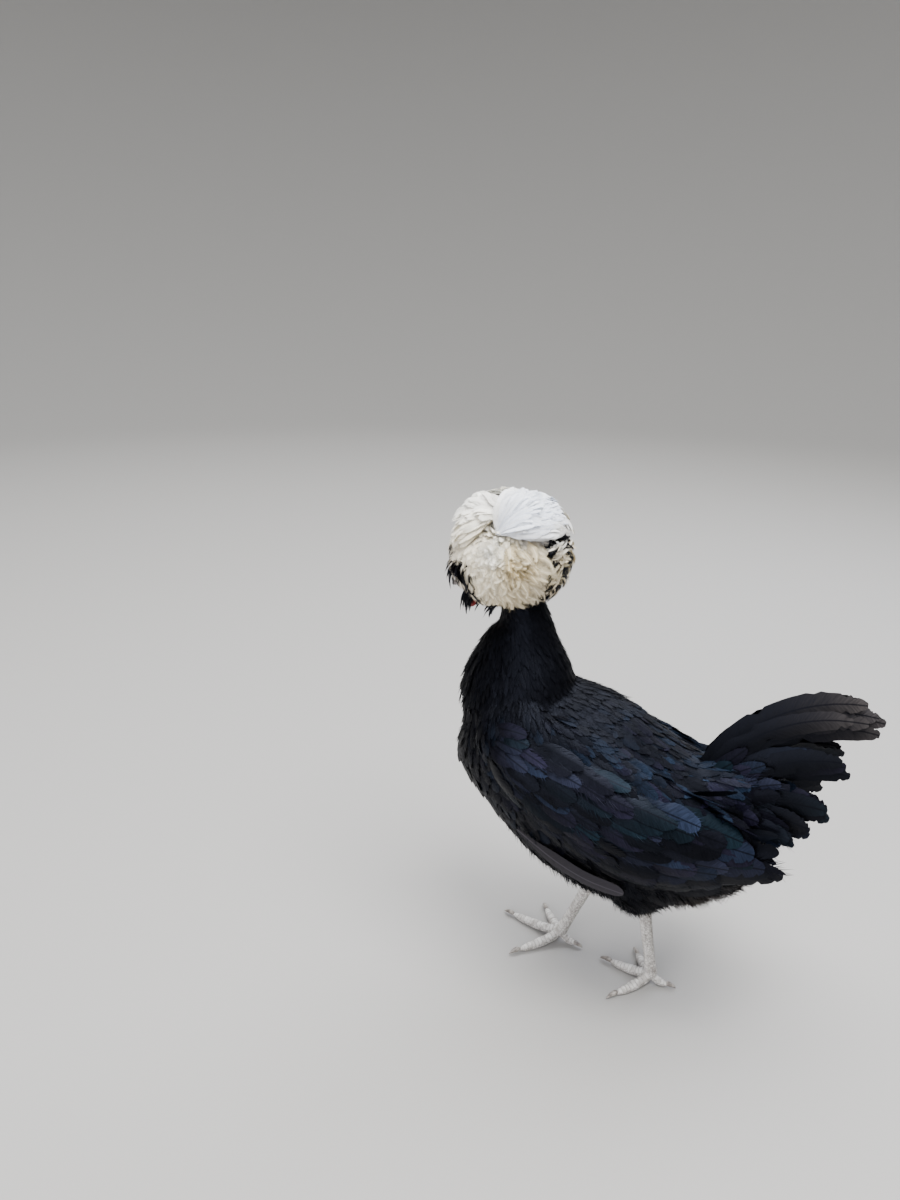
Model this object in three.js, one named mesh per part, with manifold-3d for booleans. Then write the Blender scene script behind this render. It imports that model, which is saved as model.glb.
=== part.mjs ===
// Polish crested hen standing in a walking pose, life size, in millimetres.
// The bird faces -Y, its left side is +X and up is +Z.
import * as THREE from "three";
import { mergeVertices } from "three/addons/utils/BufferGeometryUtils.js";
import Module from "manifold-3d";

const wasm = await Module();
wasm.setup();

// Gaps and vertex size
const GAP = 0.35;
const MERGE = 1e-4;
const TOLERANCE = 0.008;

// Thickness of a feather at its shaft and at its edges
const VANE_THICK = 1.5;
const VANE_EDGE = 0.6;
// Height of a feather's shaft over its edges
const BALL_CAMBER = 0.9;
const WING_CAMBER = 0.8;
const TAIL_CAMBER = 1;

// Sides and rings of the rounded parts of the head
const SKULL_FACETS = [16, 10];
const BILL_FACETS = [12, 8];
const EYE_FACETS = [10, 7];
const LOBE_FACETS = [10, 7];
const HOLLOW_FACETS = [8, 6];
const LID_FACETS = [4, 10];
const HORN_FACETS = [10, 8];

// Body from the breast to the rump: y, z, half width, half height up, half height down
const TORSO_ROWS = [
  [-114, 204, 0, 0, 0],
  [-109, 202, 24, 26, 28],
  [-95, 195, 39, 43, 46],
  [-68, 183, 50, 56, 60],
  [-34, 167, 55, 63, 74],
  [0, 151, 55, 59, 80],
  [34, 142, 52, 51, 76],
  [64, 141, 44, 43, 60],
  [84, 146, 31, 28, 42],
  [96, 149, 18, 16, 28],
  [102, 150, 0, 0, 0],
];
const TORSO_SIDES = 28;
const TORSO_RINGS = 16;

// Neck from inside the shoulders to the skull: y, z, half width, depth to the front, depth to the back
const NECK_ROWS = [
  [-70, 178, 0, 0, 0],
  [-70, 190, 40, 40, 34],
  [-72, 214, 39, 46, 37],
  [-74, 236, 32, 43, 35],
  [-75, 256, 23, 33, 28],
  [-75, 274, 18, 22, 20],
  [-80, 288, 16, 17, 17],
  [-88, 297, 12, 11, 12],
  [-91, 301, 0, 0, 0],
];
const NECK_SIDES = 20;
const NECK_RINGS = 10;

// Head: pivot in the middle of the skull, turned to the bird's right
const HEAD_AT = [-4, -97, 296];
const HEAD_TURN = -22;
const SKULL_ROWS = [
  [-22, -3.5, 0, 0, 0],
  [-20, -3, 5.5, 6, 6.5],
  [-15, -1.5, 9.5, 9.5, 10],
  [-7, 0, 13.5, 13, 13.5],
  [4, 1, 14.5, 14, 14],
  [14, 2, 11, 11, 11],
  [18, 2, 0, 0, 0],
];
const BILL_UPPER_ROWS = [
  [-39, -8.5, 0, 0, 0],
  [-36.5, -6.8, 1.7, 2, 1.8],
  [-30, -4.2, 3.6, 3.4, 1.7],
  [-23, -2.8, 5, 4.6, 1.6],
  [-16, -2.2, 5.8, 5.4, 1.6],
  [-13, -2.2, 0, 0, 0],
];
const BILL_LOWER_ROWS = [
  [-34.5, -7.6, 0, 0, 0],
  [-32, -7.6, 1.6, 1.2, 1.3],
  [-25, -6.6, 3.5, 2.4, 2.4],
  [-18, -5.8, 4.8, 3, 3.4],
  [-13, -5.6, 0, 0, 0],
];
const EYE_AT = [11.2, -7.5, 2.2];
const EYE_RADIUS = 4.8;
const LID_TUBE = 1.1;
const LID_RADIUS = EYE_RADIUS * 0.93;
const LID_OUT = 1.5;
const LID_FACING = [1, -0.32, 0.16];
const NOSTRIL_AT = [4.2, -22, -0.2];
const NOSTRIL_SIZE = [1.6, 2.2, 0.8];
const EAR_LOBE_AT = [13.2, 3.5, -6.5];
const EAR_CUP_AT = [14.6, 3, 0.5];
const EAR_CUP_SIZE = [2.2, 2.2, 3];
const EAR_LOBE_SIZE = [2.6, 4.6, 5.6];
const WATTLE_AT = [4.2, -18.5, -13.5];
const WATTLE_SIZE = [2.2, 4.4, 6];
// One horn of the comb from its base to its point, and its radius at each place
const COMB_HORN_LINE = [
  [1.2, -15, 6],
  [3.2, -18.5, 10],
  [5.6, -20.5, 16.6],
];
const COMB_HORN_RADII = [2.2, 2.2, 0.7];

// Crest: a ball of long feathers that rise from the knob of the skull and fall outwards
const CREST_CENTRE = [0, 9.5, 27];
const CREST_RADIUS = 43.5;
const CREST_CORE = [19, 20, 17];
const CREST_CORE_FACETS = [20, 14];
const CREST_WHORL = [0, -0.3, 0.95];
const CREST_TIERS = 7;
const CREST_FIRST_TIER = 10;
const CREST_LAST_TIER = 150;
const CREST_ARC = 52;
const CREST_SPACING = 20.5;
const CREST_FEWEST = 4;
const CREST_ROOT_SHARE = 0.22;
const CREST_ROOT_DEPTH = 0.8;
// How far the draws may move, turn, shorten, widen and roll a crest feather
const CREST_UNEVEN = 15;
const CREST_SHUFFLE = 0.24;
const CREST_DEPTH_SPREAD = 0.05;
const CREST_WIDTH_SPREAD = 0.16;
const CREST_ROLL_SPREAD = 0.16;
const CREST_ROLL_LEAN = 0.3;
// How early a ball's feathers turn away from the whorl, and how steeply they rise
const BALL_TURN_POWER = 0.85;
const BALL_RISE_POWER = 1.7;
const CREST_OPEN_BELOW = 30;
const FACE_OPENING = 36;
const FACE_DIRECTION = [0, -0.84, -0.54];
// Shares of a crest vane's length and of its width
const BALL_STOPS = [
  [0.07, 0.18],
  [0.55, 0.9],
  [0.89, 0.88],
];
const FRONT_CENTRE = [0, -15, 7];
const FRONT_CORE = [8, 6, 6];
const FRONT_CORE_FACETS = [12, 8];
const FRONT_ROOM_FACETS = [14, 10];
const FRONT_RADIUS = 20;
const FRONT_ROOM = 22.4;
const FRONT_WHORL = [0, -0.25, 0.97];
const FRONT_FORWARD = 90;
const FRONT_INNER = 5;
const FRONT_ROOT_SHARE = 0.3;
const FRONT_VANE_WIDTH = 7.5;
const FRONT_ROLL = 0.05;
const FRONT_DEPTH_LEAST = 0.92;
const FRONT_DEPTH_SPREAD = 0.12;
const FRONT_TIERS = [
  { away: 70, count: 5, spread: 190 },
  { away: 100, count: 6, spread: 200 },
];

// Left wing from the shoulder to the tip: x, y, z, half thickness, half height
const WING_ROWS = [
  [38, -98, 200, 0, 0],
  [42, -92, 199, 4, 18],
  [48, -70, 190, 5.5, 35],
  [52, -36, 172, 6.5, 46],
  [54, 0, 156, 6.5, 46],
  [52, 34, 147, 6, 40],
  [47, 60, 142, 5, 30],
  [43, 80, 140, 4, 19],
  [41, 88, 140, 0, 0],
];
const WING_BEND = 15;
const WING_SHINGLE = 0.2;
// Places along the wing where a feather leaves the pad, and up to which the pad's slope is read
const WING_LEAVE = 0.8;
const WING_SLOPE = 0.7;
const WING_FACING = 0.75;
// Rows of wing feathers: root and tip of the first and the last one, along and across the pad,
// their number, shift, width, and height over the pad at the root, the middle and the tip
const WING_FEATHERS = [
  {
    count: 4,
    shift: 0,
    open: false,
    roots: [[0.4, -0.86], [0.4, -0.7]],
    tips: [[0.66, -0.98], [0.9, -0.66]],
    width: 15,
    lifts: [[-2.5, 0.6, 1.2], [-2.5, 1.6, 2.2]],
    stiff: true,
  },
  {
    count: 5,
    shift: 0,
    open: false,
    roots: [[0.5, -0.5], [0.5, 0.62]],
    tips: [[0.99, -0.4], [0.86, 0.78]],
    width: 17,
    lifts: [[-2.2, 2.4, 2.6], [-2.2, 2.4, 2.6]],
    stiff: true,
  },
  {
    count: 4,
    shift: 0,
    open: true,
    roots: [[0.46, -0.7], [0.46, 0.74]],
    tips: [[0.74, -0.78], [0.74, 0.82]],
    width: 15,
    lifts: [[-1.8, 3.4, 4.6], [-1.8, 3.4, 4.6]],
    stiff: false,
  },
  {
    count: 4,
    shift: 0.5,
    open: true,
    roots: [[0.22, -0.7], [0.22, 0.74]],
    tips: [[0.48, -0.78], [0.48, 0.82]],
    width: 15,
    lifts: [[-1.8, 3.4, 4.6], [-1.8, 3.4, 4.6]],
    stiff: false,
  },
];
// Shares of a feather's length and of its width, for flight feathers and for coverts
const QUILL_STOPS = [
  [0.05, 0.4],
  [0.5, 0.95],
  [0.82, 1],
  [0.95, 0.66],
];
const COVERT_STOPS = [
  [0.06, 0.45],
  [0.5, 0.95],
  [0.86, 0.85],
];

// Tail: a fan of flight feathers on each side of the midline
const TAIL_ROWS = [
  [14, 150, 0, 0, 0],
  [24, 152, 26, 22, 28],
  [50, 160, 27, 26, 30],
  [76, 167, 25, 26, 30],
  [98, 172, 17, 19, 23],
  [108, 173, 0, 0, 0],
];
const TAIL_TOP_ROOT = [38, 148];
const TAIL_LOW_ROOT = [62, 158];
const TAIL_VANE_WIDTH = 24;
// Each tail feather from the top of the fan down: rise at the root, rise at the tip, length
const TAIL_FAN = [
  [65, -11, 162],
  [63, -9, 150],
  [53, -8, 111],
  [48, -5, 109],
  [31, -12, 84],
  [23, -12, 80],
  [10, -18, 64],
];
const TAIL_STEPS = 16;
// Distance of the tips from the midline at the top and the bottom of the fan, and the roots' share
const TAIL_TOP_OUT = 3.5;
const TAIL_LOW_OUT = 24;
const TAIL_ROOT_OUT = 0.35;
const TAIL_LOW_WIDTH = 0.85;
const TAIL_BEND_POWER = 1.5;
const TAIL_LEAN = 0.25;
const TAIL_ROLL = 0.08;
const TAIL_FACETS = [16, 8];
const TAIL_STOPS = [
  [0.05, 0.3],
  [0.35, 0.62],
  [0.62, 0.95],
  [0.84, 1],
  [0.96, 0.66],
];

// Legs: hock, ankle and the toes as compass turn from straight ahead and length
const HOCK_HEIGHT = 74;
const LEFT_LEG = {
  side: 1,
  hip: [25, 8, 118],
  hock: [15, 25, HOCK_HEIGHT],
  ankle: [13.4, 36, 9],
  toes: [
    { name: "middle", turn: -21, length: 34 },
    { name: "outer", turn: 41.6, length: 32 },
    { name: "inner", turn: -66, length: 29 },
    { name: "hind", turn: 176, length: 13 },
  ],
};
const RIGHT_LEG = {
  side: -1,
  hip: [-25, -36, 115],
  hock: [-15, -10, HOCK_HEIGHT],
  ankle: [-13.4, -36, 9],
  toes: [
    { name: "middle", turn: -22, length: 46 },
    { name: "inner", turn: 38.7, length: 38 },
    { name: "outer", turn: -62, length: 36 },
    { name: "hind", turn: 164, length: 13 },
  ],
};
const TOE_RADIUS = 3.9;
const SHANK_RADII = [5, 6, 4.6, 4, 5, 4.4];
const TOE_RADII = [4.4, TOE_RADIUS, 3.4, 2.5];
const HIND_TOE_SHARE = 0.8;
const HIND_CLAW_SHARE = 0.75;
const CLAW_LENGTH = 8;
const CLAW_RADII = [1.7, 1.9, 1.3, 0.5];
const THIGH_RADII = [20, 24, 24, 20, 14, 10];
// Shares of the way from the hip to the hock, and from the hock to the ankle
const THIGH_STOPS = [-0.15, 0, 0.4, 0.75, 1, 1.08];
const SHANK_STOPS = [0, 0.2, 0.75, 1];
const HOCK_TOP = 6;
const ANKLE_DROP = 5;
// Shares of a toe's and of a claw's length, and the height of its middle there
const TOE_STOPS = [
  [0.3, 5.6],
  [0.65, 3.588],
  [1, 3],
];
const CLAW_STOPS = [
  [-0.3, 3.2],
  [0.1, 3.6],
  [0.6, 2.9],
  [1, 1.2],
];
const THIGH_FACETS = [18, 14];
const SHANK_FACETS = [9, 8];
const TOE_FACETS = [8, 6];
const CLAW_FACETS = [6, 6];

// A stream of repeatable draws between 0 and 1
function drawsFrom(seed) {
  let state = seed;
  return () => {
    state = (state * 16807) % 2147483647;
    return state / 2147483647;
  };
}

const lerp = (a, b, t) => a + (b - a) * t;
const clamp01 = (t) => Math.min(1, Math.max(0, t));
const vec = (p) => new THREE.Vector3(...p);
const rad = THREE.MathUtils.degToRad;

// Smooth value of a row of numbers at t from 0 to 1
function alongRows(rows, t) {
  const last = rows.length - 1;
  const place = clamp01(t) * last;
  const i = Math.min(last - 1, Math.floor(place));
  const u = place - i;
  const pick = (k) => rows[Math.min(last, Math.max(0, k))];
  const [a, b, c, d] = [pick(i - 1), pick(i), pick(i + 1), pick(i + 2)];
  return b.map((value, n) => {
    const slopeIn = (c[n] - a[n]) / 2;
    const slopeOut = (d[n] - b[n]) / 2;
    const u2 = u * u;
    const u3 = u2 * u;
    return (
      (2 * u3 - 3 * u2 + 1) * value +
      (u3 - 2 * u2 + u) * slopeIn +
      (3 * u2 - 2 * u3) * c[n] +
      (u3 - u2) * slopeOut
    );
  });
}

// Moves every vertex of a geometry by a function
function mould(geometry, move) {
  const places = geometry.getAttribute("position");
  const point = new THREE.Vector3();
  for (let i = 0; i < places.count; i += 1) {
    point.fromBufferAttribute(places, i);
    const moved = move(point);
    places.setXYZ(i, moved.x, moved.y, moved.z);
  }
  return geometry;
}

// The station of a unit sphere's vertex along its own axis, and its angle about it
function ringOf(point) {
  const along = Math.acos(THREE.MathUtils.clamp(point.y, -1, 1)) / Math.PI;
  const angle = Math.atan2(point.z, point.x);
  return [along, angle];
}

// A rounded body in the middle plane, from rows of y, z, half width, up, down
function bodyGeometry(rows, sides, rings, grow = 0) {
  const centre = (t) => {
    const row = alongRows(rows, t);
    return new THREE.Vector3(0, row[0], row[1]);
  };
  const across = new THREE.Vector3(1, 0, 0);
  const step = 0.01;
  return mould(new THREE.SphereGeometry(1, sides, rings), (point) => {
    const [t, angle] = ringOf(point);
    const row = alongRows(rows, t);
    const tangent = centre(clamp01(t + step)).sub(centre(clamp01(t - step))).normalize();
    const up = across.clone().cross(tangent);
    const s = Math.sin(angle);
    const reach = s > 0 ? row[3] : row[4];
    const size = Math.max(0, row[2]);
    const shell = Math.sin(t * Math.PI) > 1e-6 ? grow : 0;
    const push = grow * Math.cos(t * Math.PI) * -1;
    return centre(t)
      .addScaledVector(across, (size + shell) * Math.cos(angle))
      .addScaledVector(up, (Math.max(0, reach) + shell) * s)
      .addScaledVector(tangent, push);
  });
}

// A round limb along points, with a radius at each of them
function limbGeometry(points, radii, sides, rings, grow = 0) {
  const rows = points.map((p, i) => [...p, radii[i]]);
  const curve = (t) => vec(alongRows(rows, t).slice(0, 3));
  const reference = new THREE.Vector3(0.31, 0.17, 0.93).normalize();
  return mould(new THREE.SphereGeometry(1, sides, rings), (point) => {
    const [t, angle] = ringOf(point);
    const tangent = curve(clamp01(t + 0.01)).sub(curve(clamp01(t - 0.01))).normalize();
    const side = reference.clone().cross(tangent).normalize();
    const other = tangent.clone().cross(side);
    const round = Math.sqrt(Math.sin(t * Math.PI));
    const radius = (alongRows(rows, t)[3] + grow) * Math.min(1, round * 1.15);
    return curve(t)
      .addScaledVector(side, radius * Math.cos(angle))
      .addScaledVector(other, radius * Math.sin(angle))
      .addScaledVector(tangent, -grow * Math.cos(t * Math.PI));
  });
}

// An ellipsoid
function ovalGeometry(at, size, sides, rings) {
  return new THREE.SphereGeometry(1, sides, rings)
    .scale(size[0], size[1], size[2])
    .translate(at[0], at[1], at[2]);
}

// A feather vane: a thin curved plate along a path, both faces split alike
// path(t) gives the shaft, outward(t) the side its upper face looks to
function vaneGeometry(options) {
  const { path, outward, width, thick, stops, camber = 0, rootShare = 0.35, roll = 0, edge = 0 } =
    options;
  const points = [];
  const faces = [];
  const add = (p) => points.push(p.x, p.y, p.z) / 3 - 1;
  const rings = stops.map(([t, share]) => {
    const at = path(t);
    const tangent = path(clamp01(t + 0.02)).sub(path(clamp01(t - 0.02))).normalize();
    const out = outward(t).clone();
    const side = tangent.clone().cross(out).normalize();
    out.copy(side).cross(tangent).normalize();
    side.applyAxisAngle(tangent, roll);
    out.applyAxisAngle(tangent, roll);
    const half = (width * share) / 2;
    const rise = camber * share;
    const place = (across, height) =>
      add(at.clone().addScaledVector(side, across).addScaledVector(out, height));
    if (edge > 0) {
      return [
        place(-half, edge / 2),
        place(0, thick / 2 + rise),
        place(half, edge / 2),
        place(half, -edge / 2),
        place(0, -thick / 2 + rise),
        place(-half, -edge / 2),
      ];
    }
    return [
      place(-half, 0),
      place(0, thick / 2 + rise),
      place(half, 0),
      place(0, -thick / 2 + rise),
    ];
  });
  const count = rings[0].length;
  for (let i = 0; i + 1 < rings.length; i += 1) {
    for (let k = 0; k < count; k += 1) {
      const n = (k + 1) % count;
      const [a, b, c, d] = [rings[i][k], rings[i][n], rings[i + 1][n], rings[i + 1][k]];
      const upper = k < count / 2;
      if (upper === k % 2 < 1) {
        faces.push(a, b, c, a, c, d);
      } else {
        faces.push(a, b, d, b, c, d);
      }
    }
  }
  const first = rings[0];
  const root = add(path(0));
  for (let k = 0; k < count; k += 1) {
    faces.push(root, first[(k + 1) % count], first[k]);
  }
  const last = rings[rings.length - 1];
  const tip = add(path(1));
  for (let k = 0; k < count; k += 1) {
    faces.push(tip, last[k], last[(k + 1) % count]);
  }
  const geometry = new THREE.BufferGeometry();
  geometry.setAttribute("position", new THREE.Float32BufferAttribute(points, 3));
  geometry.setIndex(faces);
  return geometry;
}

// The solid inside a closed geometry
function solidOf(geometry) {
  const bare = new THREE.BufferGeometry();
  bare.setAttribute("position", geometry.getAttribute("position").clone());
  if (geometry.index) {
    bare.setIndex(geometry.index.clone());
  }
  const merged = mergeVertices(bare, MERGE);
  const index = merged.index.array;
  const kept = [];
  for (let i = 0; i < index.length; i += 3) {
    const [a, b, c] = [index[i], index[i + 1], index[i + 2]];
    if (a !== b && b !== c && a !== c) {
      kept.push(a, b, c);
    }
  }
  const build = (triangles) =>
    new wasm.Manifold(
      new wasm.Mesh({
        numProp: 3,
        vertProperties: new Float32Array(merged.getAttribute("position").array),
        triVerts: new Uint32Array(triangles),
        tolerance: TOLERANCE,
      }),
    );
  const made = build(kept);
  if (made.volume() >= 0) {
    return made;
  }
  const turned = [];
  for (let i = 0; i < kept.length; i += 3) {
    turned.push(kept[i], kept[i + 2], kept[i + 1]);
  }
  return build(turned);
}

// All solids joined into one
function joined(solids) {
  let rest = solids;
  while (rest.length > 1) {
    const next = [];
    for (let i = 0; i < rest.length; i += 2) {
      next.push(i + 1 < rest.length ? rest[i].add(rest[i + 1]) : rest[i]);
    }
    rest = next;
  }
  return rest[0];
}

// A solid with others cut away
const without = (solid, cutters) => cutters.reduce((left, cutter) => left.subtract(cutter), solid);

// The largest closed surface of a solid
function largest(solid) {
  const parts = solid.decompose().sort((a, b) => b.volume() - a.volume());
  return parts[0];
}

// A block that covers everything on one side of a level
function blockBelow(level) {
  const size = 1000;
  return solidOf(new THREE.BoxGeometry(size, size, size).translate(0, 0, level - size / 2));
}

function geometryOf(solid) {
  const mesh = solid.getMesh();
  const stride = mesh.numProp;
  const positions = new Float32Array(mesh.numVert * 3);
  for (let i = 0; i < mesh.numVert; i += 1) {
    positions.set(mesh.vertProperties.subarray(i * stride, i * stride + 3), i * 3);
  }
  const geometry = new THREE.BufferGeometry();
  geometry.setAttribute("position", new THREE.BufferAttribute(positions, 3));
  geometry.setIndex(new THREE.BufferAttribute(new Uint32Array(mesh.triVerts), 1));
  geometry.computeVertexNormals();
  return geometry;
}

const hen = new THREE.Group();
hen.name = "polish_crested_hen";

function addNode(name, solid, colour, roughness, metalness = 0) {
  const material = new THREE.MeshStandardMaterial({ color: colour, roughness, metalness });
  material.name = name;
  const mesh = new THREE.Mesh(geometryOf(largest(solid)), material);
  mesh.name = name;
  hen.add(mesh);
}

// Torso and neck
const torsoSolid = (grow = 0) => solidOf(bodyGeometry(TORSO_ROWS, TORSO_SIDES, TORSO_RINGS, grow));
const neckSolid = (grow = 0) => solidOf(bodyGeometry(NECK_ROWS, NECK_SIDES, NECK_RINGS, grow));
const torso = torsoSolid();
const torsoRoom = torsoSolid(GAP);
const neckRoom = neckSolid(GAP);

// Head parts are shaped about the skull's pivot and then carried into place
const headPlace = new THREE.Matrix4()
  .makeRotationZ(rad(HEAD_TURN))
  .setPosition(...HEAD_AT);
const inHead = (geometry) => solidOf(geometry.applyMatrix4(headPlace));
const mirrored = (place, side) => [place[0] * side, place[1], place[2]];
const skullSolid = (grow = 0) => inHead(bodyGeometry(SKULL_ROWS, ...SKULL_FACETS, grow));
const skullRoom = skullSolid(GAP);

function lidGeometry(side) {
  const normal = vec(mirrored(LID_FACING, side)).normalize();
  const turn = new THREE.Quaternion().setFromUnitVectors(new THREE.Vector3(0, 0, 1), normal);
  const centre = vec(mirrored(EYE_AT, side)).addScaledVector(normal, LID_OUT);
  return new THREE.TorusGeometry(LID_RADIUS, LID_TUBE, ...LID_FACETS)
    .applyQuaternion(turn)
    .translate(...centre.toArray());
}
const eyeOval = (side, grow) =>
  inHead(ovalGeometry(mirrored(EYE_AT, side), Array(3).fill(EYE_RADIUS + grow), ...EYE_FACETS));
const eyes = [1, -1].map((side) => eyeOval(side, 0));
const eyeRooms = [1, -1].map((side) => eyeOval(side, GAP));
const lids = [1, -1].map((side) => inHead(lidGeometry(side)));
const earCups = [1, -1].map((side) =>
  inHead(ovalGeometry(mirrored(EAR_CUP_AT, side), EAR_CUP_SIZE, ...HOLLOW_FACETS)),
);
const billUpperRoom = inHead(bodyGeometry(BILL_UPPER_ROWS, ...BILL_FACETS, GAP));
const nostrils = [1, -1].map((side) =>
  inHead(ovalGeometry(mirrored(NOSTRIL_AT, side), NOSTRIL_SIZE, ...HOLLOW_FACETS)),
);
const billUpper = without(inHead(bodyGeometry(BILL_UPPER_ROWS, ...BILL_FACETS)), [
  skullRoom,
  ...nostrils,
]);
const billLower = without(inHead(bodyGeometry(BILL_LOWER_ROWS, ...BILL_FACETS)), [
  skullRoom,
  billUpperRoom,
]);
const head = without(joined([skullSolid(), ...lids]), [neckRoom, ...eyeRooms, ...earCups]);
const headRoom = joined([skullRoom, ...[1, -1].map((side) => inHead(lidGeometry(side)))]);

const combHorn = (side, grow = 0) =>
  inHead(
    limbGeometry(
      COMB_HORN_LINE.map((place) => mirrored(place, side)),
      COMB_HORN_RADII,
      ...HORN_FACETS,
      grow,
    ),
  );
const comb = without(joined([1, -1].map((side) => combHorn(side))), [skullRoom, billUpperRoom]);
const wattles = [1, -1].map((side) =>
  without(inHead(ovalGeometry(mirrored(WATTLE_AT, side), WATTLE_SIZE, ...LOBE_FACETS)), [
    skullRoom,
    billUpperRoom,
    inHead(bodyGeometry(BILL_LOWER_ROWS, ...BILL_FACETS, GAP)),
  ]),
);
const lobes = [1, -1].map((side) =>
  without(inHead(ovalGeometry(mirrored(EAR_LOBE_AT, side), EAR_LOBE_SIZE, ...LOBE_FACETS)), [
    skullRoom,
    neckRoom,
  ]),
);

// A vane over a ball: it leaves the core and bends over the ball, away from the whorl
// away and turn give the tip's place about the whorl, rootAway the root's
function ballVane(ball, away, turn, rootAway, width, roll) {
  const pole = vec(ball.whorl).normalize();
  const first = new THREE.Vector3(1, 0, 0).cross(pole).normalize();
  const second = pole.clone().cross(first);
  const heading = first.multiplyScalar(Math.cos(turn)).addScaledVector(second, Math.sin(turn));
  const radial = (t) => {
    const angle = lerp(rootAway, away, Math.pow(t, BALL_TURN_POWER));
    return pole.clone().multiplyScalar(Math.cos(angle)).addScaledVector(heading, Math.sin(angle));
  };
  const distance = (t) => lerp(ball.inner, ball.outer, 1 - Math.pow(1 - t, BALL_RISE_POWER));
  return vaneGeometry({
    path: (t) => vec(ball.centre).addScaledVector(radial(t), distance(t)),
    outward: radial,
    width,
    thick: VANE_THICK,
    camber: BALL_CAMBER,
    roll,
    stops: BALL_STOPS,
  });
}

const crestDraw = drawsFrom(4207);
const faceDirection = vec(FACE_DIRECTION).normalize();
const crestBall = {
  centre: CREST_CENTRE,
  whorl: CREST_WHORL,
  inner: CREST_CORE[2] * CREST_ROOT_DEPTH,
  outer: CREST_RADIUS,
};
const crestVanes = [];
for (let tier = 0; tier < CREST_TIERS; tier += 1) {
  const away = rad(lerp(CREST_FIRST_TIER, CREST_LAST_TIER, tier / (CREST_TIERS - 1)));
  const rootAway = Math.max(away * CREST_ROOT_SHARE, away - rad(CREST_ARC));
  const round = 2 * Math.PI * CREST_RADIUS * Math.sin(away);
  const count = Math.max(CREST_FEWEST, Math.round(round / CREST_SPACING));
  for (let i = 0; i < count; i += 1) {
    const shuffle = CREST_SHUFFLE * (crestDraw() - 0.5);
    const turn = ((i + 0.5 * (tier % 2) + shuffle) / count) * 2 * Math.PI;
    const outer = CREST_RADIUS * (1 - CREST_DEPTH_SPREAD * (1 - crestDraw()));
    const stretch = away + rad(CREST_UNEVEN) * (crestDraw() - 0.5);
    const width = CREST_SPACING * (1 + CREST_WIDTH_SPREAD * (crestDraw() - 0.5));
    const roll = CREST_ROLL_SPREAD * (crestDraw() - CREST_ROLL_LEAN);
    const pole = vec(CREST_WHORL).normalize();
    const first = new THREE.Vector3(1, 0, 0).cross(pole).normalize();
    const second = pole.clone().cross(first);
    const direction = pole
      .multiplyScalar(Math.cos(away))
      .addScaledVector(first, Math.sin(away) * Math.cos(turn))
      .addScaledVector(second, Math.sin(away) * Math.sin(turn));
    const below = Math.acos(THREE.MathUtils.clamp(-direction.z, -1, 1));
    if (below < rad(CREST_OPEN_BELOW) || direction.angleTo(faceDirection) < rad(FACE_OPENING)) {
      continue;
    }
    const vane = ballVane({ ...crestBall, outer }, stretch, turn, rootAway, width, roll);
    crestVanes.push(inHead(vane));
  }
}
const crestCore = inHead(ovalGeometry(CREST_CENTRE, CREST_CORE, ...CREST_CORE_FACETS));

// Black feathers in front of the crest, rooted on the forehead, fall over the bill's base
const frontDraw = drawsFrom(911);
const frontBall = {
  centre: FRONT_CENTRE,
  whorl: FRONT_WHORL,
  inner: FRONT_INNER,
  outer: FRONT_RADIUS,
};
const frontVanes = [];
for (let tier = 0; tier < FRONT_TIERS.length; tier += 1) {
  const { away, count, spread } = FRONT_TIERS[tier];
  for (let i = 0; i < count; i += 1) {
    const turn = rad(FRONT_FORWARD + spread * ((i + 0.5) / count - 0.5));
    const outer = FRONT_RADIUS * (FRONT_DEPTH_LEAST + FRONT_DEPTH_SPREAD * frontDraw());
    const rootAway = rad(away * FRONT_ROOT_SHARE);
    const ball = { ...frontBall, outer };
    const vane = ballVane(ball, rad(away), turn, rootAway, FRONT_VANE_WIDTH, FRONT_ROLL);
    frontVanes.push(inHead(vane));
  }
}
const frontCore = inHead(ovalGeometry(FRONT_CENTRE, FRONT_CORE, ...FRONT_CORE_FACETS));
const frontWhole = joined([frontCore, ...frontVanes]);
const combRoom = joined([1, -1].map((side) => combHorn(side, GAP)));
const crestFront = without(frontWhole, [headRoom, billUpperRoom, combRoom, ...eyeRooms]);

const crest = without(joined([crestCore, ...crestVanes]), [
  headRoom,
  neckRoom,
  inHead(ovalGeometry(FRONT_CENTRE, Array(3).fill(FRONT_ROOM), ...FRONT_ROOM_FACETS)),
]);

// Wings: a curved pad over the flank, with flight feathers and coverts in tiers
function wingPoint(rows, along, across, depth) {
  const row = alongRows(rows, along);
  const lean = Math.sqrt(Math.max(0, 1 - across * across));
  return new THREE.Vector3(
    row[0] + row[3] * depth * lean - WING_BEND * across * across * (row[4] / 45),
    row[1],
    row[2] + row[4] * across,
  );
}
function wingNormal(rows, along, across) {
  const step = 0.02;
  const ahead = wingPoint(rows, along + step, across, 1);
  const behind = wingPoint(rows, along - step, across, 1);
  const upper = wingPoint(rows, along, Math.min(0.98, across + step), 1);
  const lower = wingPoint(rows, along, Math.max(-0.98, across - step), 1);
  const normal = ahead.sub(behind).cross(upper.sub(lower)).normalize();
  return normal.x < 0 ? normal.negate() : normal;
}
const wingPad = () =>
  mould(new THREE.SphereGeometry(1, 16, 10), (point) => {
    const [t, angle] = ringOf(point);
    return wingPoint(WING_ROWS, t, Math.sin(angle), Math.sign(Math.cos(angle)));
  });

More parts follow.
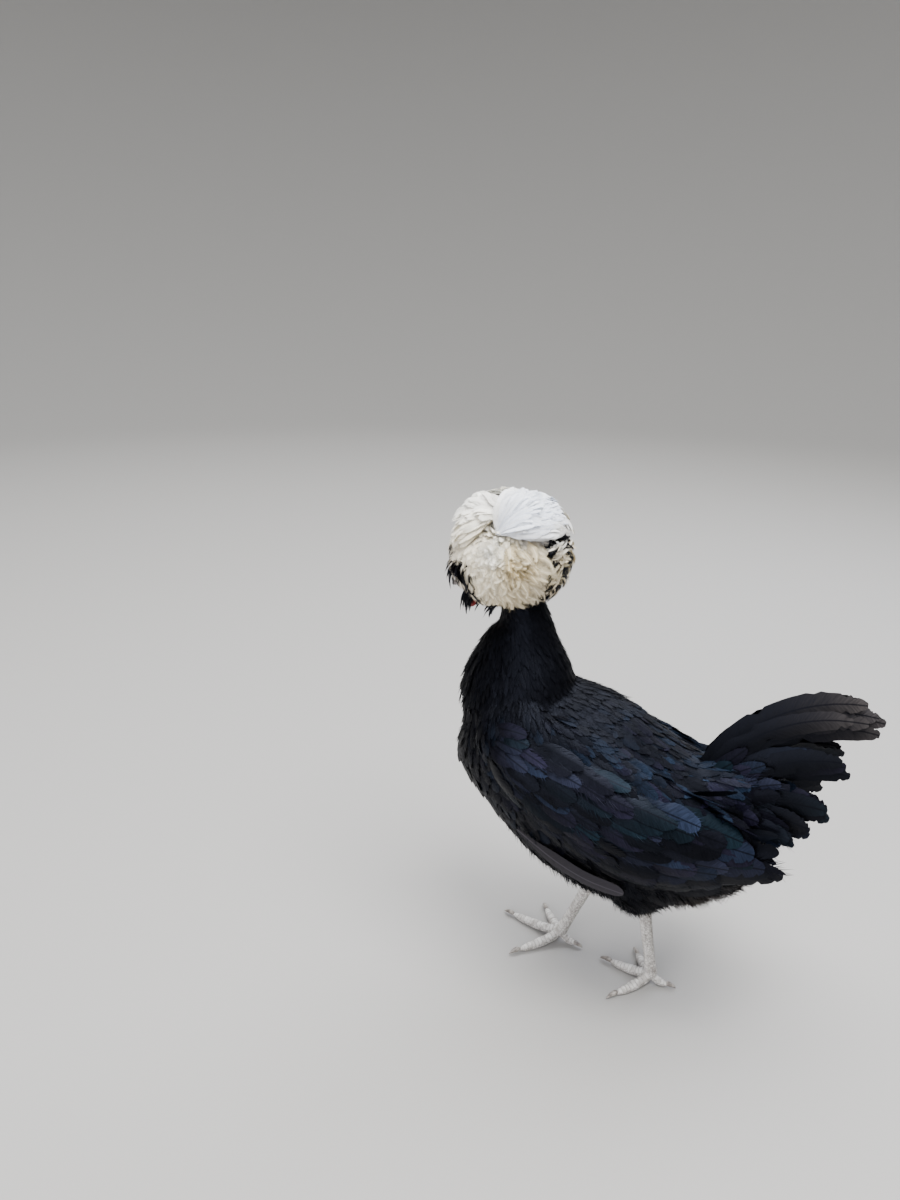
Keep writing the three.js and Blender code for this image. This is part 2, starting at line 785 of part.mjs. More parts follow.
// One wing feather from its root to its tip over the pad, given by place along and across
function wingVane(from, to, width, lifts, stiff) {
  const point = (t) => {
    const along = lerp(from[0], to[0], t);
    const across = lerp(from[1], to[1], t);
    const inside = Math.min(along, WING_LEAVE);
    const place = wingPoint(WING_ROWS, inside, across, 1);
    const lift = t < 0.5 ? lerp(lifts[0], lifts[1], t * 2) : lerp(lifts[1], lifts[2], t * 2 - 1);
    place.addScaledVector(wingNormal(WING_ROWS, Math.min(inside, WING_SLOPE), across), lift);
    const beyond = Math.max(0, along - WING_LEAVE) / (WING_LEAVE - WING_SLOPE);
    const leave = wingPoint(WING_ROWS, WING_LEAVE, across, 1);
    const onward = leave.sub(wingPoint(WING_ROWS, WING_SLOPE, across, 1));
    return place.addScaledVector(onward, beyond);
  };
  return vaneGeometry({
    path: point,
    outward: (t) => {
      const along = Math.min(WING_FACING, lerp(from[0], to[0], t));
      return wingNormal(WING_ROWS, along, lerp(from[1], to[1], t));
    },
    width,
    thick: VANE_THICK,
    edge: stiff ? VANE_EDGE : 0,
    camber: WING_CAMBER,
    roll: WING_SHINGLE,
    stops: stiff ? QUILL_STOPS : COVERT_STOPS,
  });
}
function wingGeometries() {
  const made = [wingPad()];
  const between = ([first, last], t) => first.map((value, n) => lerp(value, last[n], t));
  for (const { count, shift, open, roots, tips, width, lifts, stiff } of WING_FEATHERS) {
    for (let i = 0; i < count; i += 1) {
      const share = (i + shift) / (open ? count : count - 1);
      const [from, to, lift] = [roots, tips, lifts].map((pair) => between(pair, share));
      made.push(wingVane(from, to, width, lift, stiff));
    }
  }
  return made;
}
function wingOf(side) {
  const solids = wingGeometries().map((geometry) => solidOf(geometry.scale(side, 1, 1)));
  return without(joined(solids), [torsoRoom, neckRoom]);
}

// Tail: two fans that lean together like a tent, over a fleshy root
function tailVane(side, place, [rise, end, length]) {
  const out = lerp(TAIL_TOP_OUT, TAIL_LOW_OUT, place);
  const points = [];
  let y = lerp(TAIL_TOP_ROOT[0], TAIL_LOW_ROOT[0], place);
  let z = lerp(TAIL_TOP_ROOT[1], TAIL_LOW_ROOT[1], place);
  for (let i = 0; i <= TAIL_STEPS; i += 1) {
    const share = i / TAIL_STEPS;
    points.push(new THREE.Vector3(side * lerp(out * TAIL_ROOT_OUT, out, share), y, z));
    const angle = rad(lerp(rise, end, Math.pow(share, TAIL_BEND_POWER)));
    y += (Math.cos(angle) * length) / TAIL_STEPS;
    z += (Math.sin(angle) * length) / TAIL_STEPS;
  }
  const curve = new THREE.CatmullRomCurve3(points);
  return vaneGeometry({
    path: (t) => curve.getPoint(t),
    outward: () => new THREE.Vector3(side, 0, TAIL_LEAN * (1 - place)),
    width: TAIL_VANE_WIDTH * lerp(1, TAIL_LOW_WIDTH, place),
    thick: VANE_THICK,
    edge: VANE_EDGE,
    camber: TAIL_CAMBER,
    roll: side * TAIL_ROLL,
    stops: TAIL_STOPS,
  });
}
function tailSolid() {
  const made = [solidOf(bodyGeometry(TAIL_ROWS, ...TAIL_FACETS))];
  for (const side of [1, -1]) {
    TAIL_FAN.forEach((feather, i) => {
      made.push(solidOf(tailVane(side, i / (TAIL_FAN.length - 1), feather)));
    });
  }
  return made;
}

// Legs: feathered thigh, scaled shank with four toes, and a claw on every toe
function toeLine(leg, toe) {
  const turn = rad(toe.turn);
  const ahead = new THREE.Vector3(Math.sin(turn), -Math.cos(turn), 0);
  const [x, y, z] = leg.ankle;
  const point = (share, height) => [
    x + ahead.x * toe.length * share,
    y + ahead.y * toe.length * share,
    height,
  ];
  return { ahead, points: [[x, y, z], ...TOE_STOPS.map(([share, height]) => point(share, height))] };
}
function shankSolid(leg, grow = 0) {
  const [hx, hy, hz] = leg.hock;
  const [ax, ay, az] = leg.ankle;
  const mid = (t) => [lerp(hx, ax, t), lerp(hy, ay, t), lerp(hz, az, t)];
  const parts = [
    limbGeometry(
      [[hx, hy, hz + HOCK_TOP], ...SHANK_STOPS.map(mid), [ax, ay, az - ANKLE_DROP]],
      SHANK_RADII,
      ...SHANK_FACETS,
      grow,
    ),
  ];
  for (const toe of leg.toes) {
    const { points } = toeLine(leg, toe);
    const thin = toe.name === "hind" ? HIND_TOE_SHARE : 1;
    const radii = TOE_RADII.map((radius) => radius * thin);
    parts.push(limbGeometry(points, radii, ...TOE_FACETS, grow));
  }
  return without(joined(parts.map(solidOf)), [blockBelow(0)]);
}
function clawSolid(leg, toe) {
  const { ahead, points } = toeLine(leg, toe);
  const tip = vec(points[3]);
  const long = CLAW_LENGTH * (toe.name === "hind" ? HIND_CLAW_SHARE : 1);
  const line = CLAW_STOPS.map(([share, height]) => [
    tip.x + ahead.x * long * share,
    tip.y + ahead.y * long * share,
    height,
  ]);
  return limbGeometry(line, CLAW_RADII, ...CLAW_FACETS);
}
function thighSolid(leg) {
  const [hx, hy, hz] = leg.hip;
  const [kx, ky, kz] = leg.hock;
  const mid = (t) => [lerp(hx, kx, t), lerp(hy, ky, t), lerp(hz, kz, t)];
  return solidOf(limbGeometry(THIGH_STOPS.map(mid), THIGH_RADII, ...THIGH_FACETS));
}

// Nodes
const shankRooms = [LEFT_LEG, RIGHT_LEG].map((leg) => shankSolid(leg, GAP));
addNode("torso", without(torso, shankRooms), 0x14161d, 0.55);
addNode("neck", without(neckSolid(), [torsoRoom]), 0x101116, 0.55);
addNode("head", head, 0x2a1517, 0.7);
addNode("bill_upper", billUpper, 0x3c3a3c, 0.4);
addNode("bill_lower", billLower, 0x4a4746, 0.4);
addNode("comb", comb, 0x9c2320, 0.6);
addNode("wattle_left", wattles[0], 0xa3231f, 0.6);
addNode("wattle_right", wattles[1], 0xa3231f, 0.6);
addNode("earlobe_left", lobes[0], 0xe6e2da, 0.6);
addNode("earlobe_right", lobes[1], 0xe6e2da, 0.6);
addNode("eye_left", eyes[0], 0x7a2c12, 0.1);
addNode("eye_right", eyes[1], 0x7a2c12, 0.1);
addNode("crest", crest, 0xe6e2d6, 0.85);
addNode("crest_front", crestFront, 0x17161a, 0.6);
const wings = [1, -1].map(wingOf);
addNode("wing_left", wings[0], 0x181b26, 0.5);
addNode("wing_right", wings[1], 0x181b26, 0.5);
addNode("tail", without(joined(tailSolid()), [torsoRoom]), 0x121318, 0.5);
for (const leg of [LEFT_LEG, RIGHT_LEG]) {
  const name = leg.side > 0 ? "left" : "right";
  const shank = shankSolid(leg);
  const shankRoom = shankRooms[leg.side > 0 ? 0 : 1];
  addNode(`thigh_${name}`, without(thighSolid(leg), [torsoRoom, shankRoom]), 0x121318, 0.6);
  addNode(`shank_${name}`, shank, 0xb9b7b2, 0.6);
  for (const toe of leg.toes) {
    const claw = without(solidOf(clawSolid(leg, toe)), [shankRoom, blockBelow(0)]);
    addNode(`claw_${toe.name}_${name}`, claw, 0x4a4644, 0.4);
  }
}

// The object rests on the floor with the middle of its box over the origin
const box = new THREE.Box3().setFromObject(hen);
hen.position.set(-(box.min.x + box.max.x) / 2, -(box.min.y + box.max.y) / 2, 0);

export default hen;
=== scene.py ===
"""A life-size crested hen in a walking pose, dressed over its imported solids.

The solids give the outline and every place. This script lays one skin inside them, covers it with
feathers that follow the lie of the plumage, and makes the crest, flights, face and legs. Points are
in millimetres from the floor point between the feet, unless a docstring says otherwise.
"""

import logging
import math
from dataclasses import dataclass, field, replace
from enum import Enum
from typing import Any, Callable, Sequence

import bmesh
import bpy
import numpy as np
from bmesh.types import BMesh
from bpy.types import Material, Mesh, Node, NodeSocket, Object
from mathutils import Matrix, Vector
from mathutils.bvhtree import BVHTree


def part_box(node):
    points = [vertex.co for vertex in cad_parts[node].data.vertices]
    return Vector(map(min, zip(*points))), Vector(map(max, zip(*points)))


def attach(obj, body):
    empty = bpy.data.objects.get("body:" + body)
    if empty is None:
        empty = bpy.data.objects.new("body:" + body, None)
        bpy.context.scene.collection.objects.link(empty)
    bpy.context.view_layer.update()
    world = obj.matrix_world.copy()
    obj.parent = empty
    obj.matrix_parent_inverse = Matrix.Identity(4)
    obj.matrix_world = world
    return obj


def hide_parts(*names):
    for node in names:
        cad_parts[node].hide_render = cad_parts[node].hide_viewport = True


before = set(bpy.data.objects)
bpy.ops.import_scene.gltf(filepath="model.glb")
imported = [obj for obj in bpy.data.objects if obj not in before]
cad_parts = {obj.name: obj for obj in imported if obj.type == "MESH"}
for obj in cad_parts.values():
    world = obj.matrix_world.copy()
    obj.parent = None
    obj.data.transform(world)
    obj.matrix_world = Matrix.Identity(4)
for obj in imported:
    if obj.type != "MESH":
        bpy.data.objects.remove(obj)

logging.basicConfig(level=logging.INFO, format="%(message)s")
LOG = logging.getLogger("hen")

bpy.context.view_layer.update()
MM = 0.001

# Short names for types that come up all through
Array = np.ndarray
Point = tuple[float, float, float]
Rows = Sequence[Sequence[float]]
Mould = Callable[[Array, Array], Array]
Chance = np.random.Generator

# The body's lines, in millimetres from the floor point between the feet: each row holds y, z,
# half width, and half height up and down
TORSO_ROWS = (
    (-114, 204, 0, 0, 0),
    (-109, 202, 24, 26, 28),
    (-95, 195, 39, 43, 46),
    (-68, 183, 50, 56, 60),
    (-34, 167, 55, 63, 74),
    (0, 151, 55, 59, 80),
    (34, 142, 52, 51, 76),
    (64, 141, 44, 43, 60),
    (84, 146, 31, 28, 42),
    (96, 149, 18, 16, 28),
    (102, 150, 0, 0, 0),
)
NECK_ROWS = (
    (-70, 178, 0, 0, 0),
    (-70, 190, 40, 40, 34),
    (-72, 214, 39, 46, 37),
    (-74, 236, 32, 43, 35),
    (-75, 256, 23, 33, 28),
    (-75, 274, 18, 22, 20),
    (-80, 288, 16, 17, 17),
    (-88, 297, 12, 11, 12),
    (-91, 301, 0, 0, 0),
)
TAIL_ROWS = (
    (14, 150, 0, 0, 0),
    (24, 152, 26, 22, 28),
    (50, 160, 27, 26, 30),
    (76, 167, 25, 26, 30),
    (98, 172, 17, 19, 23),
    (108, 173, 0, 0, 0),
)
# The skull and the bill's halves, with the same rows, in millimetres about the skull's pivot
SKULL_ROWS = (
    (-22, -3.5, 0, 0, 0),
    (-20, -3, 5.5, 6, 6.5),
    (-15, -1.5, 9.5, 9.5, 10),
    (-7, 0, 13.5, 13, 13.5),
    (4, 1, 14.5, 14, 14),
    (14, 2, 11, 11, 11),
    (18, 2, 0, 0, 0),
)
BILL_UPPER_ROWS = (
    (-39, -8.5, 0, 0, 0),
    (-36.5, -6.8, 1.7, 2, 1.8),
    (-30, -4.2, 3.6, 3.4, 1.7),
    (-23, -2.8, 5, 4.6, 1.6),
    (-16, -2.2, 5.8, 5.4, 1.6),
    (-13, -2.2, 0, 0, 0),
)
BILL_LOWER_ROWS = (
    (-34.5, -7.6, 0, 0, 0),
    (-32, -7.6, 1.6, 1.2, 1.3),
    (-25, -6.6, 3.5, 2.4, 2.4),
    (-18, -5.8, 4.8, 3, 3.4),
    (-13, -5.6, 0, 0, 0),
)
# The left wing's pad: each row holds x, y, z, half thickness and half height
WING_ROWS = (
    (38, -98, 200, 0, 0),
    (42, -92, 199, 4, 18),
    (48, -70, 190, 5.5, 35),
    (52, -36, 172, 6.5, 46),
    (54, 0, 156, 6.5, 46),
    (52, 34, 147, 6, 40),
    (47, 60, 142, 5, 30),
    (43, 80, 140, 4, 19),
    (41, 88, 140, 0, 0),
)
WING_BEND = 15

# The skull's pivot and turn in the body, then the left eye, its line of sight and the left lobe
HEAD_AT = (-4.0, -97.0, 296.0)
HEAD_TURN = math.radians(-22)
EYE_AT = (11.2, -7.5, 2.2)
EYE_RADIUS = 4.8
SIGHT = (1.0, -0.32, 0.16)
LOBE_AT = (13.2, 3.5, -6.5)

# Millimetres in one unit of the map that runs across and along each feather
VANE_MAP_MM = 100.0
# Faces past which joined feathers start a new piece
PIECE_FACES = 180000


class Side(Enum):
    """The hen's own left and right."""

    LEFT = 1
    RIGHT = -1


def unit(vectors: Array | Sequence[float]) -> Array:
    """Vectors scaled to length one.

    Args:
        vectors: one vector, or an array whose last axis is x, y, z.

    Returns:
        The same with every vector of length one.
    """
    size = np.linalg.norm(vectors, axis=-1, keepdims=True)
    return vectors / np.maximum(size, 1e-9)


def angle_between(first: Array, second: Array) -> float:
    """The angle between two directions, in radians."""
    return math.acos(float(np.clip(first.dot(second), -1, 1)))


def linear(code: str) -> tuple[float, float, float, float]:
    """A linear colour from its sRGB hex code.

    Args:
        code: six hex digits after a hash sign.

    Returns:
        Red, green, blue and alpha in linear light.
    """
    parts = [int(code[i : i + 2], 16) / 255 for i in (1, 3, 5)]
    red, green, blue = (
        p / 12.92 if p <= 0.04045 else ((p + 0.055) / 1.055) ** 2.4 for p in parts
    )
    return red, green, blue, 1.0


def tint(code: str) -> Array:
    """A linear colour without its alpha, from its sRGB hex code."""
    return np.array(linear(code)[:3])


def along_rows(rows: Rows, t: Array) -> Array:
    """Smooth values between rows of numbers.

    Args:
        rows: the rows, evenly spaced from 0 to 1.
        t: places from 0 to 1.

    Returns:
        One row of values for each place.
    """
    table = np.asarray(rows, float)
    last = len(table) - 1
    place = np.clip(np.asarray(t, float), 0, 1) * last
    i = np.minimum(last - 1, np.floor(place)).astype(int)
    u = (place - i)[..., None]
    before, start = table[np.maximum(i - 1, 0)], table[i]
    end, after = table[i + 1], table[np.minimum(i + 2, last)]
    slope_in, slope_out = (end - before) / 2, (after - start) / 2
    u2, u3 = u * u, u * u * u
    return (
        (2 * u3 - 3 * u2 + 1) * start
        + (u3 - 2 * u2 + u) * slope_in
        + (3 * u2 - 2 * u3) * end
        + (u3 - u2) * slope_out
    )


def loft_points(rows: Rows, t: Array, angle: Array, grow: float) -> Array:
    """Points on a rounded body in the middle plane.

    Args:
        rows: y, z, half width, half height up and down.
        t: place along the body, from 0 to 1.
        angle: angle about the body's line, 0 at its left side.
        grow: millimetres added all round.

    Returns:
        The points.
    """
    row = along_rows(rows, t)
    ahead = along_rows(rows, np.clip(t + 0.01, 0, 1))[..., :2]
    behind = along_rows(rows, np.clip(t - 0.01, 0, 1))[..., :2]
    tangent = unit(ahead - behind)
    up = np.stack([-tangent[..., 1], tangent[..., 0]], -1)
    sine = np.sin(angle)
    reach = np.maximum(0, np.where(sine > 0, row[..., 3], row[..., 4]))
    inner = np.where(np.sin(t * math.pi) > 1e-6, grow, 0)
    across = np.maximum(np.maximum(0, row[..., 2]) + inner, 0) * np.cos(angle)
    height = np.maximum(reach + inner, 0) * sine
    push = -grow * np.cos(t * math.pi)
    y = row[..., 0] + up[..., 0] * height + tangent[..., 0] * push
    z = row[..., 1] + up[..., 1] * height + tangent[..., 1] * push
    return np.stack([across, y, z], -1)


def wing_points(along: Array, across: Array, depth: Array) -> Array:
    """Points on the left wing's pad.

    Args:
        along: place from the shoulder, 0, to the tip, 1.
        across: place from the lower edge, -1, to the upper edge, 1.
        depth: 1 on the outer face and -1 on the inner face.

    Returns:
        The points.
    """
    row = along_rows(WING_ROWS, along)
    lean = np.sqrt(np.maximum(0, 1 - across * across))
    x = row[..., 0] + row[..., 3] * depth * lean
    x = x - WING_BEND * across * across * (row[..., 4] / 45)
    return np.stack([x, row[..., 1], row[..., 2] + row[..., 4] * across], -1)


def wing_normals(along: Array, across: Array) -> Array:
    """Outward directions of the left wing's outer face.

    Args:
        along: place from the shoulder, 0, to the tip, 1.
        across: place from the lower edge, -1, to the upper edge, 1.

    Returns:
        One direction for each place.
    """
    step = 0.02
    one = np.ones_like(along)
    ahead = wing_points(along + step, across, one) - wing_points(along - step, across, one)
    high = wing_points(along, np.minimum(0.98, across + step), one)
    low = wing_points(along, np.maximum(-0.98, across - step), one)
    normal = unit(np.cross(ahead, high - low))
    return np.where(normal[..., :1] < 0, -normal, normal)


def head_to_body(points: Array) -> Array:
    """Points given about the skull's pivot, carried into the body's own millimetres."""
    return directions_to_body(points) + np.array(HEAD_AT)


def directions_to_body(points: Array) -> Array:
    """Directions turned from the head's frame into the body's.

    Args:
        points: directions in the head's frame.

    Returns:
        The same directions in the body's frame.
    """
    points = np.asarray(points, float)
    c, s = math.cos(HEAD_TURN), math.sin(HEAD_TURN)
    turned = points.copy()
    turned[..., 0] = points[..., 0] * c - points[..., 1] * s
    turned[..., 1] = points[..., 0] * s + points[..., 1] * c
    return turned


def frame_shift() -> Array:
    """Where the floor point between the feet stands, read off the left eye.

    Returns:
        The point, in the frame's metres.
    """
    low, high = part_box("eye_left")
    middle = (np.array(low) + np.array(high)) / 2
    return middle - head_to_body(np.array(EYE_AT)) * MM


def on_side(point: Sequence[float], side: int) -> Array:
    """A point or direction of the left side, kept there by 1 or mirrored to the right by -1."""
    return np.array(point, float) * (side, 1, 1)


SHIFT = frame_shift()


def to_frame(points: Array) -> Array:
    """Body millimetres turned into the frame's metres."""
    return np.asarray(points, float) * MM + SHIFT


# Materials


class Nodes:
    """A material under work: its nodes are added one by one and linked as they come."""

    def __init__(self, name: str) -> None:
        """Starts a material that holds only its shader and output.

        Args:
            name: the material's name, after its real finish.
        """
        self.material = bpy.data.materials.new(name)
        self.material.use_nodes = True
        self.tree = self.material.node_tree
        self.tree.nodes.clear()
        self.shader = self.add("BsdfPrincipled")
        self.add("OutputMaterial", {"Surface": self.shader.outputs[0]})

    def feed(self, node: Node, inputs: dict[Any, Any]) -> None:
        """Sets a node's inputs.

        Args:
            node: the node.
            inputs: input name or number to its value, or to the output socket that feeds it.
        """
        for name, value in inputs.items():
            if isinstance(value, NodeSocket):
                self.tree.links.new(value, node.inputs[name])
            else:
                node.inputs[name].default_value = value

    def add(self, kind: str, inputs: dict[Any, Any] | None = None, **settings: Any) -> Node:
        """Adds one node.

        Args:
            kind: the node's type, without the words that every shader node's type starts with.
            inputs: its inputs, as feed takes them.
            settings: attributes to set on the node.

        Returns:
            The new node.
        """
        node = self.tree.nodes.new(f"ShaderNode{kind}")
        for name, value in settings.items():
            setattr(node, name, value)
        self.feed(node, inputs or {})
        return node

    def math(self, operation: str, *values: NodeSocket | float) -> NodeSocket:
        """What a maths node makes of its values."""
        return self.add("Math", dict(enumerate(values)), operation=operation).outputs[0]

    def carry(
        self, value: NodeSocket, low: float, high: float, bottom: float, top: float, smooth: bool = True
    ) -> NodeSocket:
        """Carries a value from one range to another.

        Args:
            value: the value.
            low: start of its range.
            high: end of its range.
            bottom: what the start becomes.
            top: what the end becomes.
            smooth: whether it eases in and out.

        Returns:
            The new value.
        """
        kind = "SMOOTHSTEP" if smooth else "LINEAR"
        ends = {0: value, 1: low, 2: high, 3: bottom, 4: top}
        return self.add("MapRange", ends, interpolation_type=kind).outputs[0]

    def blend(self, share: NodeSocket, first: Any, second: Any) -> NodeSocket:
        """Two colours mixed by the share of the second."""
        return self.add("Mix", {0: share, 6: first, 7: second}, data_type="RGBA").outputs[2]

    def noise(self, place: NodeSocket, size: float, detail: float, roughness: float = 0.5) -> NodeSocket:
        """Cloudy noise, with clouds of a size in the place's own unit."""
        inputs = {"Vector": place, "Scale": 1 / size, "Detail": detail, "Roughness": roughness}
        return self.add("TexNoise", inputs).outputs[0]

    def cells(self, place: NodeSocket, size: float) -> NodeSocket:
        """Distance to the edge of the nearest cell, with cells of a size in the place's own unit."""
        inputs = {"Vector": place, "Scale": 1 / size}
        return self.add("TexVoronoi", inputs, feature="DISTANCE_TO_EDGE").outputs[0]

    def finish(
        self, colour: NodeSocket, height: NodeSocket, strength: float, depth_mm: float, rest: dict[str, Any]
    ) -> Material:
        """Links the colour and the relief to the shader, and sets what is left of it.

        Args:
            colour: the surface's colour.
            height: its relief.
            strength: how strongly the relief shows.
            depth_mm: how deep the relief is.
            rest: the shader's other inputs.

        Returns:
            The finished material.
        """
        bump = self.add("Bump", {"Strength": strength, "Distance": depth_mm * MM, "Height": height})
        self.feed(self.shader, {"Base Color": colour, "Normal": bump.outputs[0], **rest})
        return self.material


@dataclass(frozen=True)
class FeatherFinish:
    """Keratin vanes: barbs that slant off a shaft, in the colours of each feather."""

    name: str
    roughness: float
    gloss: float
    gloss_tint: str
    shaft: str
    shaft_mm: float
    shaft_share: float
    barb_mm: float = 0.9
    barb_depth: float = 0.5
    barb_contrast: float = 0.5
    sheen: float = 0.0
    glow: float = 0.0

    def barbs(self, nodes: Nodes, own: NodeSocket) -> tuple[NodeSocket, NodeSocket]:
        """Streaks along the barbs.

        Args:
            nodes: the material under work.
            own: the feather's own number, which sets its streaks apart from its neighbours'.

        Returns:
            The streaks' height and the distance from the shaft.
        """
        vane = nodes.add("UVMap", uv_map="vane")
        size = nodes.add("VectorMath", {0: vane.outputs[0], "Scale": VANE_MAP_MM}, operation="SCALE")
        across, along, _ = nodes.add("SeparateXYZ", {0: size.outputs[0]}).outputs
        away = nodes.math("ABSOLUTE", across)
        # A barb runs forward as it leaves the shaft, so its streak keeps length less distance
        slant = nodes.math("MULTIPLY_ADD", away, -0.9, along)
        parts = (
            nodes.math("DIVIDE", slant, self.barb_mm),
            nodes.math("MULTIPLY", away, 0.16),
            nodes.math("MULTIPLY", own, 90.0),
        )
        place = nodes.add("CombineXYZ", dict(enumerate(parts)))
        return nodes.noise(place.outputs[0], 1.0, 2.0, 0.6), away

    def material(self) -> Material:
        """The finish as a material.

        Returns:
            The material, with each feather's own colour, its barbs and its shaft.
        """
        nodes = Nodes(self.name)
        coat = nodes.add("Attribute", attribute_name="coat")
        streaks, away = self.barbs(nodes, coat.outputs["Alpha"])
        contrast = self.barb_contrast
        tone = nodes.carry(streaks, 0.25, 0.75, 1 - contrast, 1 + contrast, False)
        web = nodes.add("VectorMath", {0: coat.outputs["Color"], "Scale": tone}, operation="SCALE")
        shaft = nodes.carry(away, self.shaft_mm * 0.4, self.shaft_mm, self.shaft_share, 0.0)
        rest = {
            "Roughness": nodes.carry(streaks, 0.3, 0.7, self.roughness - 0.08, self.roughness + 0.1, False),
            "Specular IOR Level": self.gloss,
            "Specular Tint": linear(self.gloss_tint),
            "Sheen Weight": self.sheen,
            "Sheen Roughness": 0.4,
            "Subsurface Weight": self.glow,
            "Subsurface Radius": (0.003, 0.003, 0.0025),
            "Subsurface Scale": 0.5,
        }
        colour = nodes.blend(shaft, web.outputs[0], linear(self.shaft))
        return nodes.finish(colour, streaks, self.barb_depth, 0.3, rest)


@dataclass(frozen=True)
class SkinFinish:
    """Living skin or horn: two colours in patches, fine grain and a soft gloss."""

    name: str
    colour: str
    second: str
    roughness: float
    grain_mm: float
    depth: float
    patch_mm: float = 6.0
    flesh: float = 0.0
    clear: float = 0.0

    def material(self) -> Material:
        """The finish as a material.

        Returns:
            The material, patterned on object coordinates.
        """
        nodes = Nodes(self.name)
        place = nodes.add("TexCoord").outputs["Object"]
        patches = nodes.carry(nodes.noise(place, self.patch_mm * MM, 4.0, 0.6), 0.38, 0.66, 0.0, 1.0)
        rest = {
            "Roughness": self.roughness,
            "Subsurface Weight": self.flesh,
            "Subsurface Radius": (0.004, 0.0015, 0.001),
            "Subsurface Scale": 0.4,
            "Coat Weight": self.clear,
            "Coat Roughness": 0.08,
        }
        colour = nodes.blend(patches, linear(self.colour), linear(self.second))
        return nodes.finish(colour, nodes.cells(place, self.grain_mm * MM), self.depth, 0.4, rest)


@dataclass(frozen=True)
class ScaleFinish:
    """Horny scales of a bird's leg: broad scutes in front, small cells behind, darker in the grooves."""

    name: str
    colour: str
    second: str
    groove: str
    scute_mm: float = 3.1
    cell_mm: float = 1.9
    patch_mm: float = 5.0
    roughness: float = 0.58
    groove_darkening: float = 0.62

    def material(self) -> Material:
        """The finish as a material.

        Returns:
            The material, patterned on the limb's own lengths and facing.
        """
        nodes = Nodes(self.name)
        limb = nodes.add("Attribute", attribute_name="limb")
        length, facing, _ = nodes.add("SeparateXYZ", {0: limb.outputs["Vector"]}).outputs
        place = nodes.add("TexCoord").outputs["Object"]
        # One groove for every scute along the limb, a little uneven
        uneven = nodes.math("MULTIPLY", nodes.noise(place, 2.4 * MM, 1.0), 0.35)
        steps = nodes.math("MULTIPLY_ADD", length, 1 / self.scute_mm, uneven)
        scutes = nodes.carry(nodes.math("PINGPONG", steps, 0.5), 0.0, 0.11, 1.0, 0.0)
        cells = nodes.carry(nodes.cells(place, self.cell_mm * MM), 0.02, 0.14, 1.0, 0.0)
        front = nodes.carry(facing, 0.2, 0.4, 0.0, 1.0)
        grooves = nodes.add("Mix", {0: front, 2: cells, 3: scutes}, data_type="FLOAT").outputs[0]
        patches = nodes.carry(nodes.noise(place, self.patch_mm * MM, 5.0, 0.65), 0.42, 0.64, 0.0, 1.0)
        skin = nodes.blend(patches, linear(self.colour), linear(self.second))
        # The grooves are coloured darker
        colour = nodes.blend(nodes.math("MULTIPLY", grooves, self.groove_darkening), skin, linear(self.groove))
        height = nodes.math("SUBTRACT", 1.0, grooves)
        return nodes.finish(colour, height, 0.8, 0.5, {"Roughness": self.roughness})


# Soft black plumage with a faint blue gloss where the light catches it
BLACK_PLUMAGE = FeatherFinish("black_plumage", 0.46, 0.11, "#BCC6E6", "#030304", 0.35, 0.5)
# Stiffer flight feathers: smoother webs, a visible dark shaft
FLIGHT_PLUMAGE = FeatherFinish("flight_plumage", 0.43, 0.13, "#BCC6E6", "#020203", 0.7, 0.75, 0.8, 0.4)
# Worn matt grey vane with a paler shaft
WORN_PLUMAGE = FeatherFinish("worn_plumage", 0.62, 0.25, "#C6C2CE", "#57535B", 0.9, 0.35, 0.8, 0.25, 0.08)
# White crest feathers: dry, open webs that scatter the light
CREST_PLUMAGE = FeatherFinish(
    "white_plumage", 0.8, 0.2, "#FFFFFF", "#FBF8F0", 0.3, 0.35, 0.8, 0.7, 0.1, 0.15, 0.12
)
# Dark skin under the plumage, seen only between feathers
BODY_SKIN = SkinFinish("feathered_skin", "#0B0B0E", "#15131A", 0.8, 1.4, 0.2)
# Dull red skin of the face, with fine folds
FACE_SKIN = SkinFinish("face_skin", "#86261F", "#521617", 0.55, 0.9, 0.7, 2.2, 0.12)
# Brighter, beaded red skin of comb and wattles
COMB_SKIN = SkinFinish("comb_skin", "#A3231E", "#741415", 0.48, 0.75, 0.8, 2.0, 0.15)
# Chalky white skin of the earlobes
EARLOBE_SKIN = SkinFinish("earlobe_skin", "#EDE8DE", "#D8CFC4", 0.6, 1.0, 0.4, 3.0, 0.2)
# Dark slate horn of the bill, clouded paler and worn smooth
BILL_HORN = SkinFinish("bill_horn", "#3B3839", "#6C6460", 0.35, 2.6, 0.12, 7.0, 0.0, 0.2)
# Pale grey horn of the claws, with darker streaks of wear
CLAW_HORN = SkinFinish("claw_horn", "#A8A29A", "#6E6761", 0.42, 2.0, 0.15, 4.0, 0.0, 0.15)
# Pale slate scutes of the shank, darker in the grooves between them
LEG_SCALES = ScaleFinish("leg_scales", "#DEDBD6", "#B4AFA9", "#6B645D")
# Bay iris under a wet, clear gloss
IRIS = SkinFinish("iris", "#A3501E", "#6B2A10", 0.12, 0.6, 0.05, 1.5, 0.0, 1.0)
# Black pupil under the same gloss, also for the dark of the nostrils
PUPIL = SkinFinish("pupil", "#050505", "#070605", 0.05, 1.0, 0.0, 2.0, 0.0, 1.0)


# Meshes


def link(name: str, data: bpy.types.ID) -> Object:
    """Links new data to the scene.

    Args:
        name: the new object's name.
        data: its mesh, light or camera.

    Returns:
        The new object.
    """
    made = bpy.data.objects.new(name, data)
    bpy.context.scene.collection.objects.link(made)
    return made


